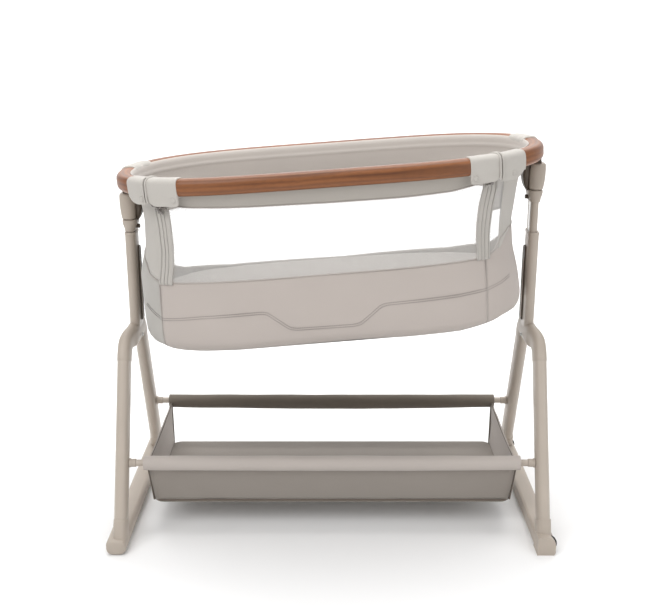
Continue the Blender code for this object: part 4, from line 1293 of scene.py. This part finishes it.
def slack_panel(name, corners, columns, rows, sag, look):
    """A cloth panel between four corners, bellied along its normal."""
    a, b, c, d = (Vector(p) for p in corners)
    normal = (b - a).cross(d - a).normalized()
    grid = []
    for i in range(rows + 1):
        t = i / rows
        row = []
        for j in range(columns + 1):
            s = j / columns
            place = a.lerp(b, s).lerp(d.lerp(c, s), t)
            belly = sag * sin(pi * t) * (0.55 + 0.45 * sin(pi * s)) + 0.0012 * noise.noise(place * 14)
            row.append(place + normal * belly)
        grid.append(row)
    made = add(name, *skin(grid), look, "stand", None, "basket_fabric", 80)
    thick(made, 0.0018, 0.0)


def basket():
    front = hem_tube("basket_hem_front", -1, "hem", 0.0150, 0.0015, 1.05)
    hem_tube("basket_hem_rear", 1, "rear_hem", 0.0140, 0.0050, 1.25)
    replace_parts(front, "basket_fabric")
    floor_rows = []
    for z, inset, radius in ((BASKET_Z, 0.004, 0.02), (BASKET_Z - 0.0006, 0.001, 0.022),
                             (BASKET_Z + 0.004, 0.0, 0.023),
                             (BASKET_Z + 0.0085, 0.001, 0.022), (BASKET_Z + 0.0090, 0.004, 0.02)):
        outline = rounded_box(2 * (BASKET_X - inset), 2 * (BASKET_Y - inset), radius, 5)
        floor_rows.append([(a, b, z) for a, b in outline])
    floor = add("basket_floor", *skin(floor_rows, True, True), "basket", "stand", None, "basket_fabric", 50)
    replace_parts(floor, "basket_board")
    loop = [(a, b, BASKET_Z + 0.0045) for a,
            b in rounded_box(2 * BASKET_X + 0.001, 2 * BASKET_Y + 0.001, 0.023, 6)]
    loop.append(loop[0])
    piped("basket_floor_piping", loop, 0.0026, "binding", "stand", None, "basket_fabric")
    slack_panel("basket_front_wall", (
        (-BASKET_X + 0.006, -BASKET_Y + 0.001, BASKET_Z + 0.005),
        (BASKET_X - 0.006, -BASKET_Y + 0.001, BASKET_Z + 0.005),
        (BASKET_X + 0.002, -BAR_Y + 0.004, BAR_Z - 0.006), (-BASKET_X - 0.002, -BAR_Y + 0.004, BAR_Z - 0.006),
    ), 60, 12, 0.004, "basket")
    for side, word in ((-1, "left"), (1, "right")):
        corners = [(side * (BASKET_X - 0.002), -BASKET_Y + 0.004, BASKET_Z + 0.005),
                   (side * (BASKET_X - 0.002), BASKET_Y - 0.004, BASKET_Z + 0.005),
                   (side * (BASKET_X + 0.004), BAR_Y - 0.004, BAR_Z - 0.004),
                   (side * (BASKET_X + 0.004), -BAR_Y + 0.004, BAR_Z - 0.004)]
        if side > 0:
            corners = [corners[k] for k in (1, 0, 3, 2)]
        slack_panel(f"basket_end_{word}", corners, 26, 12, -0.003, "hem")
        edge = [Vector(corners[3]).lerp(Vector(corners[2]), s) - Vector((0, 0, 0.006 * sin(pi * s)))
                for s in np.linspace(0, 1, 20)]
        piped(f"basket_end_binding_{word}", edge, 0.0022, "binding", "stand", None, "basket_fabric")
        for k, pair in enumerate(((0, 3), (1, 2))):
            line = [Vector(corners[pair[0]]).lerp(Vector(corners[pair[1]]), s) for s in np.linspace(0, 1, 12)]
            piped(f"basket_corner_binding_{word}_{k}", line, 0.0020, "binding", "stand", None,
                  "basket_fabric")


# ---------------------------------------------------------------- stage


def stage():
    mesh = bpy.data.meshes.new("floor")
    rows = []
    back, rise = 2.2, 3.2
    for x in (-6.0, 6.0):
        line = [(x, -4.0, 0.0), (x, back, 0.0)]
        for k in range(1, 9):
            angle = pi / 2 * k / 8
            line.append((x, back + 1.2 * sin(angle), 1.2 * (1 - cos(angle))))
        line.append((x, back + 1.2, rise))
        rows.append(line)
    points, faces, _ = skin(rows)
    mesh.from_pydata(points, [], [face[::-1] for face in faces])
    look = Look("plain_floor", roughness=0.9)
    place = look.scaled("Object", (1, 1, 1))
    look.link(look.ramp(look.noise(place, 2.0), (0.3, (0.90, 0.90, 0.90, 1)), (0.7, (0.92, 0.92, 0.92, 1))),
              "Base Color")
    mesh.materials.append(look.material)
    mesh.shade_smooth()
    made = bpy.data.objects.new("floor", mesh)
    bpy.context.scene.collection.objects.link(made)


def lamp(name, place, aim, size, power):
    data = bpy.data.lights.new(name, "AREA")
    data.shape = "RECTANGLE"
    data.size, data.size_y = size
    data.energy = power
    made = bpy.data.objects.new(name, data)
    made.location = place
    made.rotation_euler = (Vector(aim) - Vector(place)).to_track_quat("-Z", "Y").to_euler()
    bpy.context.scene.collection.objects.link(made)


def lights():
    world = bpy.data.worlds.new("studio")
    bpy.context.scene.world = world
    world.use_nodes = True
    world.node_tree.nodes["Background"].inputs["Color"].default_value = (1, 1, 1, 1)
    world.node_tree.nodes["Background"].inputs["Strength"].default_value = WORLD_STRENGTH
    for settings in LAMPS:
        lamp(*settings)


def camera():
    data = bpy.data.cameras.new("camera")
    data.lens = CAMERA_LENS
    data.sensor_width = 36
    made = bpy.data.objects.new("camera", data)
    made.location = CAMERA_PLACE
    made.rotation_euler = (CAMERA_TILT, 0, 0)
    bpy.context.scene.collection.objects.link(made)
    bpy.context.scene.camera = made


camera()
lights()
stage()
rim_trims()
rim_wraps()
poppers()
valance()
gate_cloth()
lower_panels()
base_panel()
upper_ends()
nets()
linings()
stitching()
panel_seams()
mattress()
rim_ridges()
zips()
legs_and_crowns()
feet()
posts()
dress_small_nodes()
small_hardware()
basket()
bpy.context.scene.view_settings.view_transform = "Standard"
